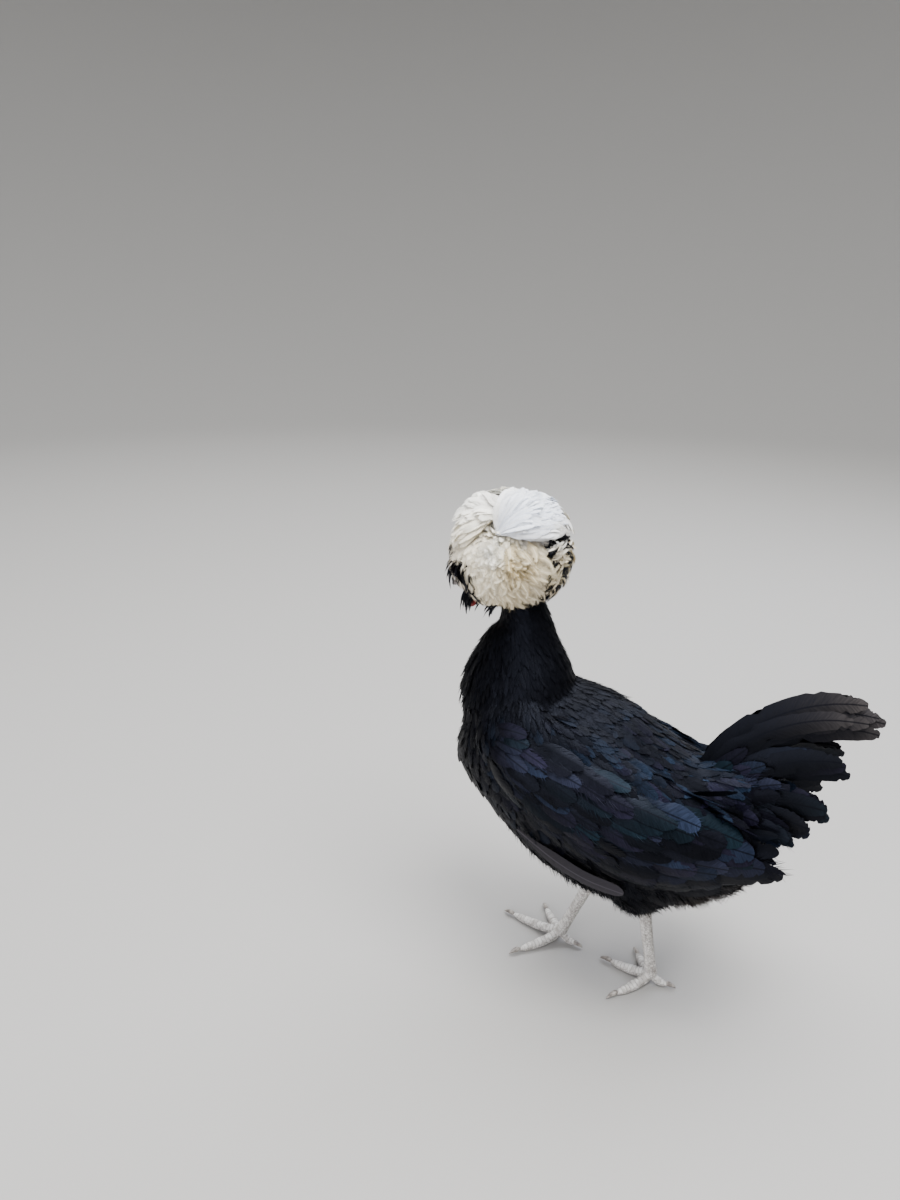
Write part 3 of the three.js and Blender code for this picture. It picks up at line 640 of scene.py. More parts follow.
def keep_object(
    name: str, mesh: Mesh, finishes: Sequence[Material]
) -> Object:
    """Links a finished mesh as a piece that rides with the whole bird.

    Args:
        name: the piece's name.
        mesh: its mesh, in the frame's metres.
        finishes: its materials, in slot order.

    Returns:
        The new object.
    """
    for finish in finishes:
        mesh.materials.append(finish)
    piece = link(name, mesh)
    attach(piece, "root")
    LOG.info("%s: %d faces", name, len(mesh.polygons))
    return piece


def moulded_ball(bm: BMesh, sides: int, rings: int, move: Mould) -> list:
    """Adds a ball and moves its vertices to a shape.

    Args:
        bm: the mesh under work.
        sides: segments about the ball's axis.
        rings: segments along it.
        move: turns places along, 0 to 1, and angles into points.

    Returns:
        The new vertices.
    """
    made = bmesh.ops.create_uvsphere(bm, u_segments=sides, v_segments=rings, radius=1.0)["verts"]
    co = np.array([v.co for v in made])
    t = np.arccos(np.clip(co[:, 2], -1, 1)) / math.pi
    angle = np.arctan2(co[:, 1], co[:, 0])
    for vert, point in zip(made, to_frame(move(t, angle))):
        vert.co = point
    return made


def finish_mesh(bm: BMesh, name: str) -> Mesh:
    """Turns a worked bmesh into a mesh with its faces outward.

    Args:
        bm: the mesh under work, which is freed.
        name: the new mesh's name.

    Returns:
        The mesh.
    """
    bmesh.ops.recalc_face_normals(bm, faces=bm.faces)
    mesh = bpy.data.meshes.new(name)
    bm.to_mesh(mesh)
    bm.free()
    mesh.shade_smooth()
    return mesh


def limb_points(points: Rows, radii: Sequence[float]) -> Mould:
    """A round limb's shape along a line.

    Args:
        points: the line.
        radii: the radius at each point.

    Returns:
        A function from places and angles to points.
    """
    rows = np.array([[*p, r] for p, r in zip(points, radii)], float)

    def move(t: Array, angle: Array) -> Array:
        """The limb's surface.

        Args:
            t: places along the limb, from 0 to 1.
            angle: angles about it.

        Returns:
            The points.
        """
        row = along_rows(rows, t)
        ahead = along_rows(rows, np.clip(t + 0.01, 0, 1))[:, :3]
        behind = along_rows(rows, np.clip(t - 0.01, 0, 1))[:, :3]
        tangent = unit(ahead - behind)
        side = unit(np.cross(np.array([0.31, 0.17, 0.93]), tangent))
        other = np.cross(tangent, side)
        round_off = np.minimum(1, np.sqrt(np.maximum(0, np.sin(t * math.pi))) * 1.15)
        radius = (row[:, 3] * round_off)[:, None]
        return row[:, :3] + side * radius * np.cos(angle)[:, None] + other * radius * np.sin(angle)[:, None]

    return move


@dataclass(frozen=True)
class Template:
    """One feather in flat form: places along, across and above its shaft, and its triangles."""

    places: Array
    triangles: Array


@dataclass(frozen=True)
class FeatherShape:
    """A feather's outline, and how much of its edge is frayed.

    Widths are shares of the full width, and places along the feather are shares of its length.
    """

    root: float = 0.35
    peak: float = 0.45
    tip: float = 0.6
    web: float = 1.0
    camber: float = 0.2
    stations: int = 8
    columns: int = 2
    barbs: int = 0
    barb_reach: float = 0.16
    barb_thick: float = 0.02
    fluff: float = 0.0
    splits: int = 1
    ragged: float = 0.04

    def outline(self, share: Array) -> Array:
        """The feather's half outline.

        Args:
            share: shares of the length.

        Returns:
            The share of the full width at each of them.
        """
        rise = np.clip(share / self.peak, 0, 1)
        rise = self.root + (1 - self.root) * rise * rise * (3 - 2 * rise)
        fall = np.clip((share - self.tip) / (1 - self.tip), 0, 1)
        return rise * np.sqrt(np.maximum(0, 1 - fall * fall))

    def template(self, seed: int) -> Template:
        """The feather's closed web with its free barbs.

        Args:
            seed: seed of the splits, ragged edges and barbs.

        Returns:
            The template.
        """
        rng = np.random.default_rng(seed)
        columns = np.linspace(-1, 1, 2 * self.columns + 1)
        shares = np.sin(np.linspace(0, 1, self.stations + 1) * math.pi / 2)
        reach = 1.0 if self.web == 1 else 0.95
        places, triangles = [], []
        last = self.stations - 1
        notched = {(int(rng.integers(2, last)), int(rng.choice((-1, 1)))) for _ in range(self.splits)}
        for i, share in enumerate(shares):
            half = max(0.03, float(self.outline(share * 0.995)) * self.web)
            for place in columns:
                side = 1 if place > 0 else -1
                edge = 1 + rng.normal(0, self.ragged) * abs(place)
                if (i, side) in notched:
                    edge *= 1 - 0.3 * abs(place)
                along = share * reach + 0.03 * abs(place) * (1 - share)
                places.append((along, place * half * edge, -self.camber * (place * half) ** 2))
        count = len(columns)
        for i in range(self.stations):
            for k in range(count - 1):
                a, b = i * count + k, i * count + k + 1
                triangles += [(a, b, b + count), (a, b + count, a + count)]
        for side in (-1, 1):
            for i in range(self.barbs):
                first = len(places)
                places += self.barb(side, (i + rng.uniform(0.1, 0.9)) / self.barbs, rng)
                triangles.append((first, first + 1, first + 2))
        return Template(np.array(places), np.array(triangles))

    def barb(self, side: int, share: float, rng: Chance) -> list[Point]:
        """One free barb that runs out and forward from the web.

        Args:
            side: 1 or -1 for the shaft's two sides.
            share: the barb's place along that side.
            rng: the source of chance.

        Returns:
            The two corners of its base and its tip.
        """
        base = 0.06 + 0.88 * share
        half = float(self.outline(np.array(base)))
        far = float(self.outline(np.array(min(1, base + self.barb_reach * 0.5))))
        length = self.barb_reach * rng.uniform(0.7, 1.25)
        thick = self.barb_thick * rng.uniform(1.1, 1.8)
        lift = rng.uniform(-0.15, 0.5) * self.fluff
        inner = half * self.web * rng.uniform(0.25, 0.75)
        outer = max(far, 0.12) * rng.uniform(0.82, 1.04)
        end = 1 + 0.3 * self.barb_reach
        low, high = -self.camber * inner**2, lift - 1.2 * self.camber * outer**2
        return [
            (min(end, base - thick), side * inner, low),
            (min(end, base + thick), side * inner, low),
            (min(end, base + length), side * outer, high),
        ]


@dataclass
class Plumes:
    """Feathers gathered for one piece: their shaft lines, sizes and colours."""

    template: Template
    fade: float = 1.0
    feathers: list[tuple] = field(default_factory=list)

    def add(self, path: Array, out: Array, width: float, colour: Array, roll: float = 0.0) -> None:
        """Adds one feather.

        Args:
            path: points from root to tip.
            out: outward direction at each point.
            width: full width in millimetres.
            colour: two linear colours, root and tip.
            roll: turn about its shaft, in radians.
        """
        self.feathers.append((path, out, width, colour, roll))

    def arrays(self) -> tuple[Array, Array, Array, Array, Array]:
        """Bends the template along every shaft.

        Returns:
            The vertices in the frame's metres, triangles, vane map, bake map and colours.
        """
        paths, outs, widths, pairs, rolls = (np.array(part) for part in zip(*self.feathers))
        along, across, above = self.template.places.T
        half = widths[:, None, None] / 2
        tangent = unit(np.gradient(paths, axis=1))
        side = unit(np.cross(tangent, outs))
        out = np.cross(side, tangent)
        roll = rolls[:, None, None]
        side, out = side * np.cos(roll) + out * np.sin(roll), out * np.cos(roll) - side * np.sin(roll)
        last = paths.shape[1] - 1
        place = np.clip(along, 0, 1.0) * last
        i = np.minimum(last - 1, np.floor(place)).astype(int)
        u = (along * last - i)[None, :, None]

        def blend(values: Array) -> Array:
            """Values carried from the shafts' points to the template's places."""
            return values[:, i] * (1 - u) + values[:, i + 1] * u

        co = (
            blend(paths)
            + unit(blend(side)) * half * across[None, :, None]
            + unit(blend(out)) * half * above[None, :, None]
        )
        count, size = co.shape[0], co.shape[1]
        triangles = self.template.triangles[None] + (np.arange(count) * size)[:, None, None]
        lengths = np.linalg.norm(np.diff(paths, axis=1), axis=-1).sum(1)
        vane = np.stack([half[:, :, 0] * across[None], lengths[:, None] * along[None]], -1) / VANE_MAP_MM
        roots = skin_unwrap(paths[:, 0])
        patch = np.stack([across * 0.0015, (along - 0.5) * 0.003], -1)
        bake = np.clip(roots[:, None, :] + patch[None], 0.001, 0.999)
        share = np.clip(along, 0, 1)[None, :, None] ** self.fade
        colours = pairs[:, :1] * (1 - share) + pairs[:, 1:2] * share
        tone = np.broadcast_to(np.modf(roots[:, :1] * 997.0)[0][:, None], (count, size, 1))
        colours = np.concatenate([colours, tone], -1)
        return (
            to_frame(co.reshape(-1, 3)),
            triangles.reshape(-1, 3),
            vane.reshape(-1, 2),
            bake.reshape(-1, 2),
            colours.reshape(-1, 4),
        )


def skin_unwrap(points: Array) -> Array:
    """Places on an unwrap of the bird's own shape.

    The body is unrolled about its spine, the neck about its axis and the crest about its middle.

    Args:
        points: feathers' roots.

    Returns:
        One pair of map places for each of them.
    """
    x, y, z = points[:, 0], points[:, 1], points[:, 2]
    spine = np.interp(y, [-114, -34, 34, 102], [204, 167, 142, 152])
    body_v = 0.5 + np.arctan2(x, z - spine) / (2 * math.pi)
    body_u = 0.02 + 0.6 * np.clip((y + 125) / 290, 0, 1)
    neck_v = 0.5 + np.arctan2(x, -(y + 74)) / (2 * math.pi)
    neck_u = 0.66 + 0.12 * np.clip((z - 205) / 85, 0, 1)
    centre = head_to_body(np.array(CREST.centre))
    rel = points - centre
    ball_v = 0.5 + np.arctan2(rel[:, 0], -rel[:, 1]) / (2 * math.pi)
    ball_u = 0.82 + 0.16 * np.arccos(np.clip(unit(rel)[:, 2], -1, 1)) / math.pi
    on_head = z > 284
    on_neck = (z > 214) & (y < -34) & ~on_head
    u = np.where(on_head, ball_u, np.where(on_neck, neck_u, body_u))
    v = np.where(on_head, ball_v, np.where(on_neck, neck_v, body_v))
    return np.stack([u, 0.02 + 0.96 * v], -1)


def plume_piece(name: str, groups: Sequence[Plumes], finish: Material) -> list[Object]:
    """Joined feathers, in as many pieces as the face limit asks for.

    Args:
        name: the pieces' name.
        groups: feathers by template.
        finish: the pieces' material.

    Returns:
        The new objects, each with its vane and bake maps and its colours.
    """
    parts = [group.arrays() for group in groups if group.feathers]
    batches: list[list[tuple]] = [[]]
    total = 0
    for part in parts:
        if total and total + len(part[1]) > PIECE_FACES:
            batches.append([])
            total = 0
        batches[-1].append(part)
        total += len(part[1])
    made = []
    for number, batch in enumerate(batches):
        label = name if number == 0 else f"{name}_{number + 1}"
        made.append(keep_object(label, plume_mesh(label, batch), [finish]))
    return made


def plume_mesh(name: str, parts: Sequence[tuple]) -> Mesh:
    """One mesh from feathers' arrays, with its maps and colours.

    Args:
        name: the mesh's name.
        parts: vertices, triangles, vane map, bake map and colours of each group.

    Returns:
        The mesh.
    """
    starts = np.cumsum([0] + [len(part[0]) for part in parts[:-1]])
    moved = [(co, triangles + first, *rest) for (co, triangles, *rest), first in zip(parts, starts)]
    co, triangles, vane, bake, colours = (np.concatenate(values) for values in zip(*moved))
    mesh = bpy.data.meshes.new(name)
    mesh.vertices.add(len(co))
    mesh.vertices.foreach_set("co", co.astype(np.float32).ravel())
    mesh.loops.add(triangles.size)
    mesh.loops.foreach_set("vertex_index", triangles.astype(np.int32).ravel())
    mesh.polygons.add(len(triangles))
    mesh.polygons.foreach_set("loop_start", np.arange(0, triangles.size, 3, dtype=np.int32))
    mesh.update(calc_edges=True)
    mesh.validate()
    index = triangles.ravel()
    for label, values in (("vane", vane), ("OFBake", bake)):
        layer = mesh.uv_layers.new(name=label)
        layer.data.foreach_set("uv", values[index].astype(np.float32).ravel())
    coat = mesh.color_attributes.new("coat", "FLOAT_COLOR", "POINT")
    coat.data.foreach_set("color", colours.astype(np.float32).ravel())
    mesh.shade_smooth()
    return mesh


# The skin


@dataclass
class Skin:
    """One closed skin under the plumage, inside the solids by the coat's depth."""

    coat_depth: float = 2.6
    voxel_mm: float = 2.0
    smoothing: int = 4
    tree: BVHTree | None = None
    mesh: Mesh | None = None

    def build(self) -> None:
        """Moulds the body's masses, melts them into one and smooths the joins."""
        bm = bmesh.new()
        deep = -self.coat_depth
        for rows, sides, rings in ((TORSO_ROWS, 64, 48), (NECK_ROWS, 48, 32), (TAIL_ROWS, 40, 24)):
            moulded_ball(bm, sides, rings, lambda t, a, rows=rows: loft_points(rows, t, a, deep))
        moulded_ball(bm, 32, 20, lambda t, a: head_to_body(loft_points(SKULL_ROWS, t, a, -0.8)))
        for side in Side:
            moulded_ball(bm, 40, 32, lambda t, a, s=side.value: self.wing_shape(t, a, s))
        for leg in LEGS:
            line, radii = leg.thigh_line()
            moulded_ball(bm, 32, 24, limb_points(line, [max(0.5, r - 2) for r in radii]))
        holder = link("skin_rough", finish_mesh(bm, "skin_rough"))
        remesh = holder.modifiers.new("melt", "REMESH")
        remesh.mode = "VOXEL"
        remesh.voxel_size = self.voxel_mm * MM
        graph = bpy.context.evaluated_depsgraph_get()
        melted = bpy.data.meshes.new_from_object(holder.evaluated_get(graph))
        bpy.data.objects.remove(holder)
        bm = bmesh.new()
        bm.from_mesh(melted)
        axes = {f"use_axis_{axis}": True for axis in "xyz"}
        for _ in range(self.smoothing):
            bmesh.ops.smooth_vert(bm, verts=bm.verts, factor=0.5, **axes)
        self.tree = BVHTree.FromBMesh(bm)
        self.mesh = finish_mesh(bm, "skin")

    def wing_shape(self, t: Array, angle: Array, side: int) -> Array:
        """The wing's pad, thinned by the coat's depth.

        Args:
            t: places along the pad, from 0 to 1.
            angle: angles about it.
            side: 1 for the left wing and -1 for the right.

        Returns:
            The points.
        """
        points = wing_points(t, np.sin(angle), np.sign(np.cos(angle)))
        points[:, 0] -= self.coat_depth * 0.8
        points[:, 0] *= side
        return points

    def dress(self) -> None:
        """Keeps the skin as a piece in place of the body's nodes of flesh, which it hides."""
        piece = keep_object("skin", self.mesh, [BODY_SKIN.material()])
        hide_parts("torso", "neck", "thigh_left", "thigh_right")

    def nearest(self, point: Array) -> tuple[Array, Array]:
        """The skin's nearest point and its outward direction."""
        place, normal, _, _ = self.tree.find_nearest(Vector(to_frame(point)))
        return (np.array(place) - SHIFT) / MM, np.array(normal)


@dataclass(frozen=True)
class Lie:
    """How the coat lies at one place: where it flows and how big its feathers are."""

    at: Point
    flow: Point
    length: float
    width: float
    lift: float
    loose: float = 0.0


BODY_LIES = (
    Lie((0, -112, 262), (0, 0.25, -1), 17, 4.2, 1.8, 0.6),
    Lie((0, -116, 240), (0, 0.05, -1), 20, 5.4, 4.2, 0.4),
    Lie((26, -80, 250), (0.25, 0.15, -1), 23, 4.6, 2.2, 0.7),
    Lie((30, -78, 228), (0.3, 0.2, -1), 26, 5.0, 3.2, 0.7),
    Lie((0, -48, 262), (0, 0.35, -1), 23, 4.6, 1.6, 0.7),
    Lie((14, -38, 234), (0.15, 0.7, -0.7), 27, 5.6, 2.0, 0.6),
    Lie((0, -118, 205), (0, 0.25, -1), 22, 8.0, 2.4, 0.1),
    Lie((30, -104, 212), (0.2, 0.45, -0.9), 24, 7.5, 2.8, 0.25),
    Lie((15, -98, 150), (0, 0.75, -0.65), 24, 12, 2.2),
    Lie((42, -88, 178), (0.1, 0.7, -0.65), 22, 11, 2.2),
    Lie((26, -26, 222), (0.12, 0.9, -0.42), 27, 9.5, 2.3, 0.1),
    Lie((12, 12, 206), (0, 0.93, -0.36), 32, 8.5, 2.4, 0.35),
    Lie((14, 42, 192), (0, 1, -0.12), 35, 8, 2.6, 0.5),
    Lie((10, 70, 194), (0, 0.8, 0.5), 38, 12, 2.6, 0.3),
    Lie((22, 88, 180), (0.1, 0.95, 0.2), 36, 12, 2.6, 0.3),
    Lie((57, -80, 195), (0, 0.82, -0.56), 15, 9.5, 2.0),
    Lie((61, -40, 175), (0, 0.86, -0.5), 19, 12, 2.2),
    Lie((60, 0, 160), (0, 0.92, -0.38), 23, 13.5, 2.4),
    Lie((52, 40, 148), (0, 0.96, -0.24), 26, 14, 2.4),
    Lie((48, -30, 112), (0, 0.85, -0.5), 26, 12, 2.2, 0.1),
    Lie((47, 20, 96), (0, 0.8, -0.6), 26, 11, 3.0, 0.7),
    Lie((14, -50, 98), (0, 0.97, -0.2), 26, 12, 2.4, 0.2),
    Lie((14, 0, 76), (0, 0.85, -0.5), 26, 11, 3.2, 0.9),
    Lie((24, 50, 82), (0, 0.7, -0.6), 30, 12, 4.5, 1.1),
    Lie((14, 82, 106), (0, 0.85, -0.3), 32, 12, 4.5, 1.1),
    Lie((12, 98, 138), (0, 0.9, 0.1), 34, 12, 3.5, 0.9),
    Lie((20, 14, 78), (0, 0.3, -1), 20, 8, 2.6, 0.9),
    Lie((20, -26, 84), (0, 0.3, -1), 20, 8, 2.6, 0.8),
)
HEAD_LIES = (
    Lie((0, -16, 9), (0.1, 0.8, 0.2), 5, 2.4, 0.7, 0.4),
    Lie((10, -12, -8), (0.2, 0.8, -0.5), 5.5, 2.6, 0.7, 0.4),
    Lie((12, 4, -10), (0.1, 0.7, -0.8), 8, 3.2, 0.9, 0.5),
    Lie((0, -10, -13), (0, 0.7, -0.7), 7, 3.0, 0.9, 0.5),
)


class LieField:
    """The lie of the coat everywhere, blended from its known places."""

    def __init__(self) -> None:
        """Mirrors the known places and carries those of the head into the body."""
        at, flow, sizes = [], [], []
        for lies, is_head in ((BODY_LIES, False), (HEAD_LIES, True)):
            for lie in lies:
                for side in (1, -1):
                    mirror = np.array([side, 1, 1])
                    place, run = np.array(lie.at) * mirror, np.array(lie.flow) * mirror
                    if is_head:
                        place, run = head_to_body(place), directions_to_body(run)
                    at.append(place)
                    flow.append(run)
                    sizes.append([lie.length, lie.width, lie.lift, lie.loose])
        self.at, self.flow, self.sizes = np.array(at), unit(np.array(flow)), np.array(sizes)

    def read(self, points: Array) -> tuple[Array, Array]:
        """The flow and the sizes at points.

        Args:
            points: places on or near the body.

        Returns:
            Flow directions, and length, width, lift and looseness.
        """
        gap = np.linalg.norm(points[:, None] - self.at[None], axis=-1)
        weight = 1 / (gap**2 + 60) ** 2
        weight /= weight.sum(1, keepdims=True)
        return unit(weight @ self.flow), weight @ self.sizes


class CoatKind(Enum):
    """The kinds of contour feather, from closed and rounded to open and downy."""

    CONTOUR = 0
    HACKLE = 1
    SADDLE = 2
    DOWN = 3


COAT_SHAPES = {
    CoatKind.CONTOUR: FeatherShape(0.4, 0.5, 0.55, 0.93, 0.2, 7, 1, 9, 0.12, 0.016, 0.2, 1),
    CoatKind.HACKLE: FeatherShape(0.4, 0.3, 0.32, 0.62, 0.2, 5, 1, 10, 0.2, 0.018, 0.5, 0),
    CoatKind.SADDLE: FeatherShape(0.4, 0.35, 0.4, 0.72, 0.2, 6, 1, 12, 0.16, 0.014, 0.4, 0),
    CoatKind.DOWN: FeatherShape(0.4, 0.4, 0.5, 0.3, 0.2, 5, 1, 20, 0.3, 0.014, 1.4, 0),
}


@dataclass
class Plumage:
    """The contour feathers of the head, neck, body, thighs and wing coverts."""

    skin: Skin
    lies: LieField
    seed: int = 71
    steps: int = 5
    tries: int = 105000
    closeness: float = 0.44
    face_bare: float = 9.0
    variants: int = 3

    def roots(self) -> tuple[Array, Array]:
        """Scatters roots evenly over the skin, closer where the feathers are small.

        Returns:
            The roots and their outward directions.
        """
        rng = np.random.default_rng(self.seed)
        mesh = self.skin.mesh
        mesh.calc_loop_triangles()
        corners = np.zeros(len(mesh.loop_triangles) * 3, np.int32)
        mesh.loop_triangles.foreach_get("vertices", corners)
        co = np.zeros(len(mesh.vertices) * 3, np.float32)
        mesh.vertices.foreach_get("co", co)
        tri = ((co.reshape(-1, 3) - SHIFT) / MM)[corners.reshape(-1, 3)]
        cross = np.cross(tri[:, 1] - tri[:, 0], tri[:, 2] - tri[:, 0])
        _, middle_sizes = self.lies.read(tri.mean(1))
        weight = np.linalg.norm(cross, axis=1) / middle_sizes[:, 1] ** 2
        pick = rng.choice(len(tri), self.tries, p=weight / weight.sum())
        a, b = rng.random(self.tries), rng.random(self.tries)
        flip = a + b > 1
        a[flip], b[flip] = 1 - a[flip], 1 - b[flip]
        chosen = tri[pick]
        edges = chosen[:, 1:] - chosen[:, :1]
        points = chosen[:, 0] + a[:, None] * edges[:, 0] + b[:, None] * edges[:, 1]
        _, sizes = self.lies.read(points)
        kept = self.thinned(points, sizes[:, 1] * self.closeness)
        return points[kept], unit(cross[pick])[kept]

    def thinned(self, points: Array, spacing: Array) -> list[int]:
        """Drops roots that stand closer than their spacing.

        Args:
            points: roots in random order.
            spacing: least distance of each.

        Returns:
            The numbers of the roots that stay.
        """
        cell = float(spacing.max())
        kept: dict[tuple[int, int, int], list[int]] = {}
        chosen = []
        around = [(x, y, z) for x in (-1, 0, 1) for y in (-1, 0, 1) for z in (-1, 0, 1)]
        keys = np.floor(points / cell).astype(int)
        for i, (kx, ky, kz) in enumerate(keys):
            near = [j for x, y, z in around for j in kept.get((kx + x, ky + y, kz + z), ())]
            if near and (((points[near] - points[i]) ** 2).sum(1) < spacing[i] ** 2).any():
                continue
            kept.setdefault((kx, ky, kz), []).append(i)
            chosen.append(i)
        return chosen

    def colour(self, point: Array, loose: float, rng: Chance) -> Array:
        """Colours of one black feather, with painted blue and violet sheen on the back, and browner at the
        vent.

        Args:
            point: its root.
            loose: how open the coat is there.
            rng: the source of chance.

        Returns:
            Its root's and its tip's linear colours.
        """
        codes = ("#030304", "#060608", "#1A2739", "#1C1A2C", "#14100C", "#3A2E20")
        black, soot, blue, violet, brown, dusk = (tint(code) for code in codes)
        # Painted sheen: some feathers on the top of the body get blue and violet tips in place of glints of
        # the light from above
        painted_sheen_mask = np.clip((point[2] - 124) / 60, 0, 1) * np.clip((236 - point[2]) / 46, 0, 1)
        painted_sheen_mask *= np.clip((point[1] + 108) / 30, 0, 1)
        gloss = painted_sheen_mask * rng.random() ** 2.2
        tip = soot * (1 - gloss) + (blue if rng.random() < 0.6 else violet) * gloss
        vent = np.clip((point[1] - 25) / 30, 0, 1) * np.clip((112 - point[2]) / 22, 0, 1)
        vent *= min(1, loose * 1.2)
        tip = tip * (1 - vent) + dusk * vent
        root = black * (1 - vent) + brown * vent
        return np.stack([root, tip]) * rng.uniform(0.75, 1.3)

    def kind(self, point: Array, loose: float, rng: Chance) -> CoatKind:
        """The kind of feather that grows at a place.

        Args:
            point: its root.
            loose: how open the coat is there.
            rng: the source of chance.

        Returns:
            The kind.
        """
        if loose > 0.85 and point[2] < 200:
            return CoatKind.DOWN
        if point[2] + rng.normal(0, 9) > 206 and point[1] < -22:
            return CoatKind.HACKLE
        if rng.random() < loose:
            return CoatKind.SADDLE if point[2] > 150 else CoatKind.DOWN
        return CoatKind.CONTOUR

    def build(self) -> dict[str, list[Plumes]]:
        """Grows every contour feather.

        Returns:
            The feathers of each part of the body, by the name of its piece.
        """
        rng = np.random.default_rng(self.seed + 1)
        points, normals = self.roots()
        flows, sizes = self.lies.read(points)
        templates = [
            shape.template(10 * kind.value + v)
            for kind, shape in COAT_SHAPES.items()
            for v in range(self.variants)
        ]
        groups = {
            name: [Plumes(template) for template in templates]
            for name in ("neck_plumage", "body_plumage", "wing_plumage", "vent_plumage")
        }
        eyes = [head_to_body(on_side(EYE_AT, side)) for side in (1, -1)]
        for point, normal, flow, (length, width, lift, loose) in zip(points, normals, flows, sizes):
            if min(np.linalg.norm(point - eye) for eye in eyes) < self.face_bare:
                continue
            length *= rng.uniform(0.82, 1.15)
            width *= rng.uniform(0.88, 1.15)
            lift *= rng.uniform(0.6, 1.25)
            path, outs = self.path(point, normal, flow, length, lift, rng)
            kind = self.kind(point, loose, rng)
            variant = int(rng.integers(self.variants))
            plumes = groups[self.region(point)][kind.value * self.variants + variant]
            wide = width * (1.25 if kind in (CoatKind.HACKLE, CoatKind.DOWN) else 1)
            plumes.add(path, outs, wide, self.colour(point, loose, rng), rng.normal(0, 0.1))
        return groups

    def path(
        self, point: Array, normal: Array, flow: Array, length: float, lift: float, rng: Chance
    ) -> tuple[Array, Array]:
        """One feather's line over the skin, rising from its root to its tip.

        Args:
            point: its root.
            normal: the skin's outward direction there.
            flow: the coat's direction there.
            length: the feather's length.
            lift: its tip's height over the skin.
            rng: the source of chance.

        Returns:
            The line and its outward directions.
        """
        heading = flow - normal * flow.dot(normal)
        heading = unit(heading + np.cross(normal, heading) * rng.normal(0, 0.13))
        place, out = point, normal
        line, outs = [], []
        for step in range(self.steps + 1):
            share = step / self.steps
            line.append(place + out * (-0.6 + (lift + 0.6) * share**0.8))
            outs.append(out)
            ahead = place + heading * (length / self.steps)
            near, near_out = self.skin.nearest(ahead)
            # Where the skin ends or bends sharply away, the feather runs on straight
            if np.linalg.norm(near - ahead) < 1.6 or near_out.dot(out) > 0.75:
                out = unit(out * 0.4 + near_out * 0.6)
                heading = unit(heading - out * heading.dot(out))
                place = near
            else:
                place = ahead
        return np.array(line), np.array(outs)

    def region(self, point: Array) -> str:
        """The piece that a feather belongs to.

        Args:
            point: its root.

        Returns:
            The piece's name.
        """
        if point[2] > 218 and point[1] < -22:
            return "neck_plumage"
        if abs(point[0]) > 44 and point[2] > 108:
            return "wing_plumage"
        if point[2] < 112 and point[1] > 15:
            return "vent_plumage"
        return "body_plumage"

    def dress(self) -> None:
        """Keeps the contour feathers as pieces, one or more for each part of the body."""
        finish = BLACK_PLUMAGE.material()
        for name, plumes in self.build().items():
            for piece in plume_piece(name, plumes, finish):
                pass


# The crest


@dataclass(frozen=True)
class Ball:
    """A ball of feathers that rise from a knob and fall away from a whorl, in the head's frame."""

    centre: Point
    whorl: Point
    inner: float
    outer: float

    def line(
        self, tip: Array, root_share: float, outer: float, swirl: float, steps: int
    ) -> tuple[Array, Array]:
        """One feather's line over the ball, on the way from the whorl to its tip's direction.

        Args:
            tip: the tip's direction from the middle, in the head's frame.
            root_share: share of that way at which the root stands.
            outer: the tip's distance from the middle.
            swirl: sideways bend, in radians.
            steps: segments along the line.

        Returns:
            The line and its outward directions.
        """
        pole = unit(self.whorl)
        tip = unit(np.asarray(tip, float))
        away = angle_between(pole, tip)
        heading = unit(tip - pole * pole.dot(tip))
        sideways = np.cross(pole, heading)
        t = np.linspace(0, 1, steps + 1)
        angle = (away * (root_share + (1 - root_share) * t**0.85))[:, None]
        bend = (swirl * t * (1 - t))[:, None]
        radial = unit(pole * np.cos(angle) + (heading + sideways * bend) * np.sin(angle))
        distance = (self.inner + (outer - self.inner) * (1 - (1 - t) ** 1.9))[:, None]
        return head_to_body(np.array(self.centre) + radial * distance), directions_to_body(radial)


CREST = Ball((0, 9.5, 27), (0.6, 0.1, 0.79), 12, 43.5)
BROW = Ball((0, -15, 7), (0, -0.25, 0.97), 5, 22.5)


@dataclass(frozen=True)
class Patch:
    """A patch of the crest: its direction from the middle, colour and share of black feathers."""

    towards: Point
    colour: str
    black: float = 0.0
    tightness: float = 14.0


CREST_PATCHES = (
    # The white fan over the top and back, with a cool tint that is painted sky light
    Patch((0.28, 0.59, 0.76), "#EFF5FF"),
    Patch((0.31, 0.79, 0.52), "#EBF2FF"),
    Patch((-0.4, 0.5, 0.77), "#F0F3F9"),
    # The forelock, a plain white
    Patch((0.58, -0.22, 0.78), "#FCFAF2"),
    Patch((0.1, -0.5, 0.86), "#FAF8F0"),
    # The cream cheek under them
    Patch((0.96, -0.13, 0.26), "#FCF4DE"),
    Patch((0.76, 0.58, 0.28), "#DFD1A8", 0.0, 22.0),
    Patch((0.93, 0.3, 0.23), "#F2F3EE", 0.0, 60.0),
    Patch((0.69, 0.72, -0.07), "#B8A272", 0.0, 44.0),
    Patch((0.31, 0.94, 0.13), "#DACBA6", 0.0, 24.0),
    # Black showing through at the rear rim and below
    Patch((-0.22, 0.95, -0.2), "#D6C8A4", 0.7, 34.0),
    Patch((-0.09, 0.93, 0.36), "#EAE5D8", 0.45, 90.0),
    Patch((-0.18, 0.76, -0.63), "#C4B28E", 0.85, 34.0),
    Patch((0.3, 0.78, -0.55), "#D6C9AC", 0.1, 40.0),
    Patch((0.56, 0.5, -0.66), "#D6C7A6", 0.0, 24.0),
    Patch((0.91, 0.06, -0.41), "#F4EAD0", 0.04, 24.0),
    Patch((0.78, -0.52, -0.35), "#E4DAC6", 0.5, 50.0),
)


class PlumeKind(Enum):
    """The kinds of crest feather, from the short ground cover to the cheeks' tufts."""

    SHORT = 0
    FLUFFY = 1
    LONG = 2
    TUFT = 3


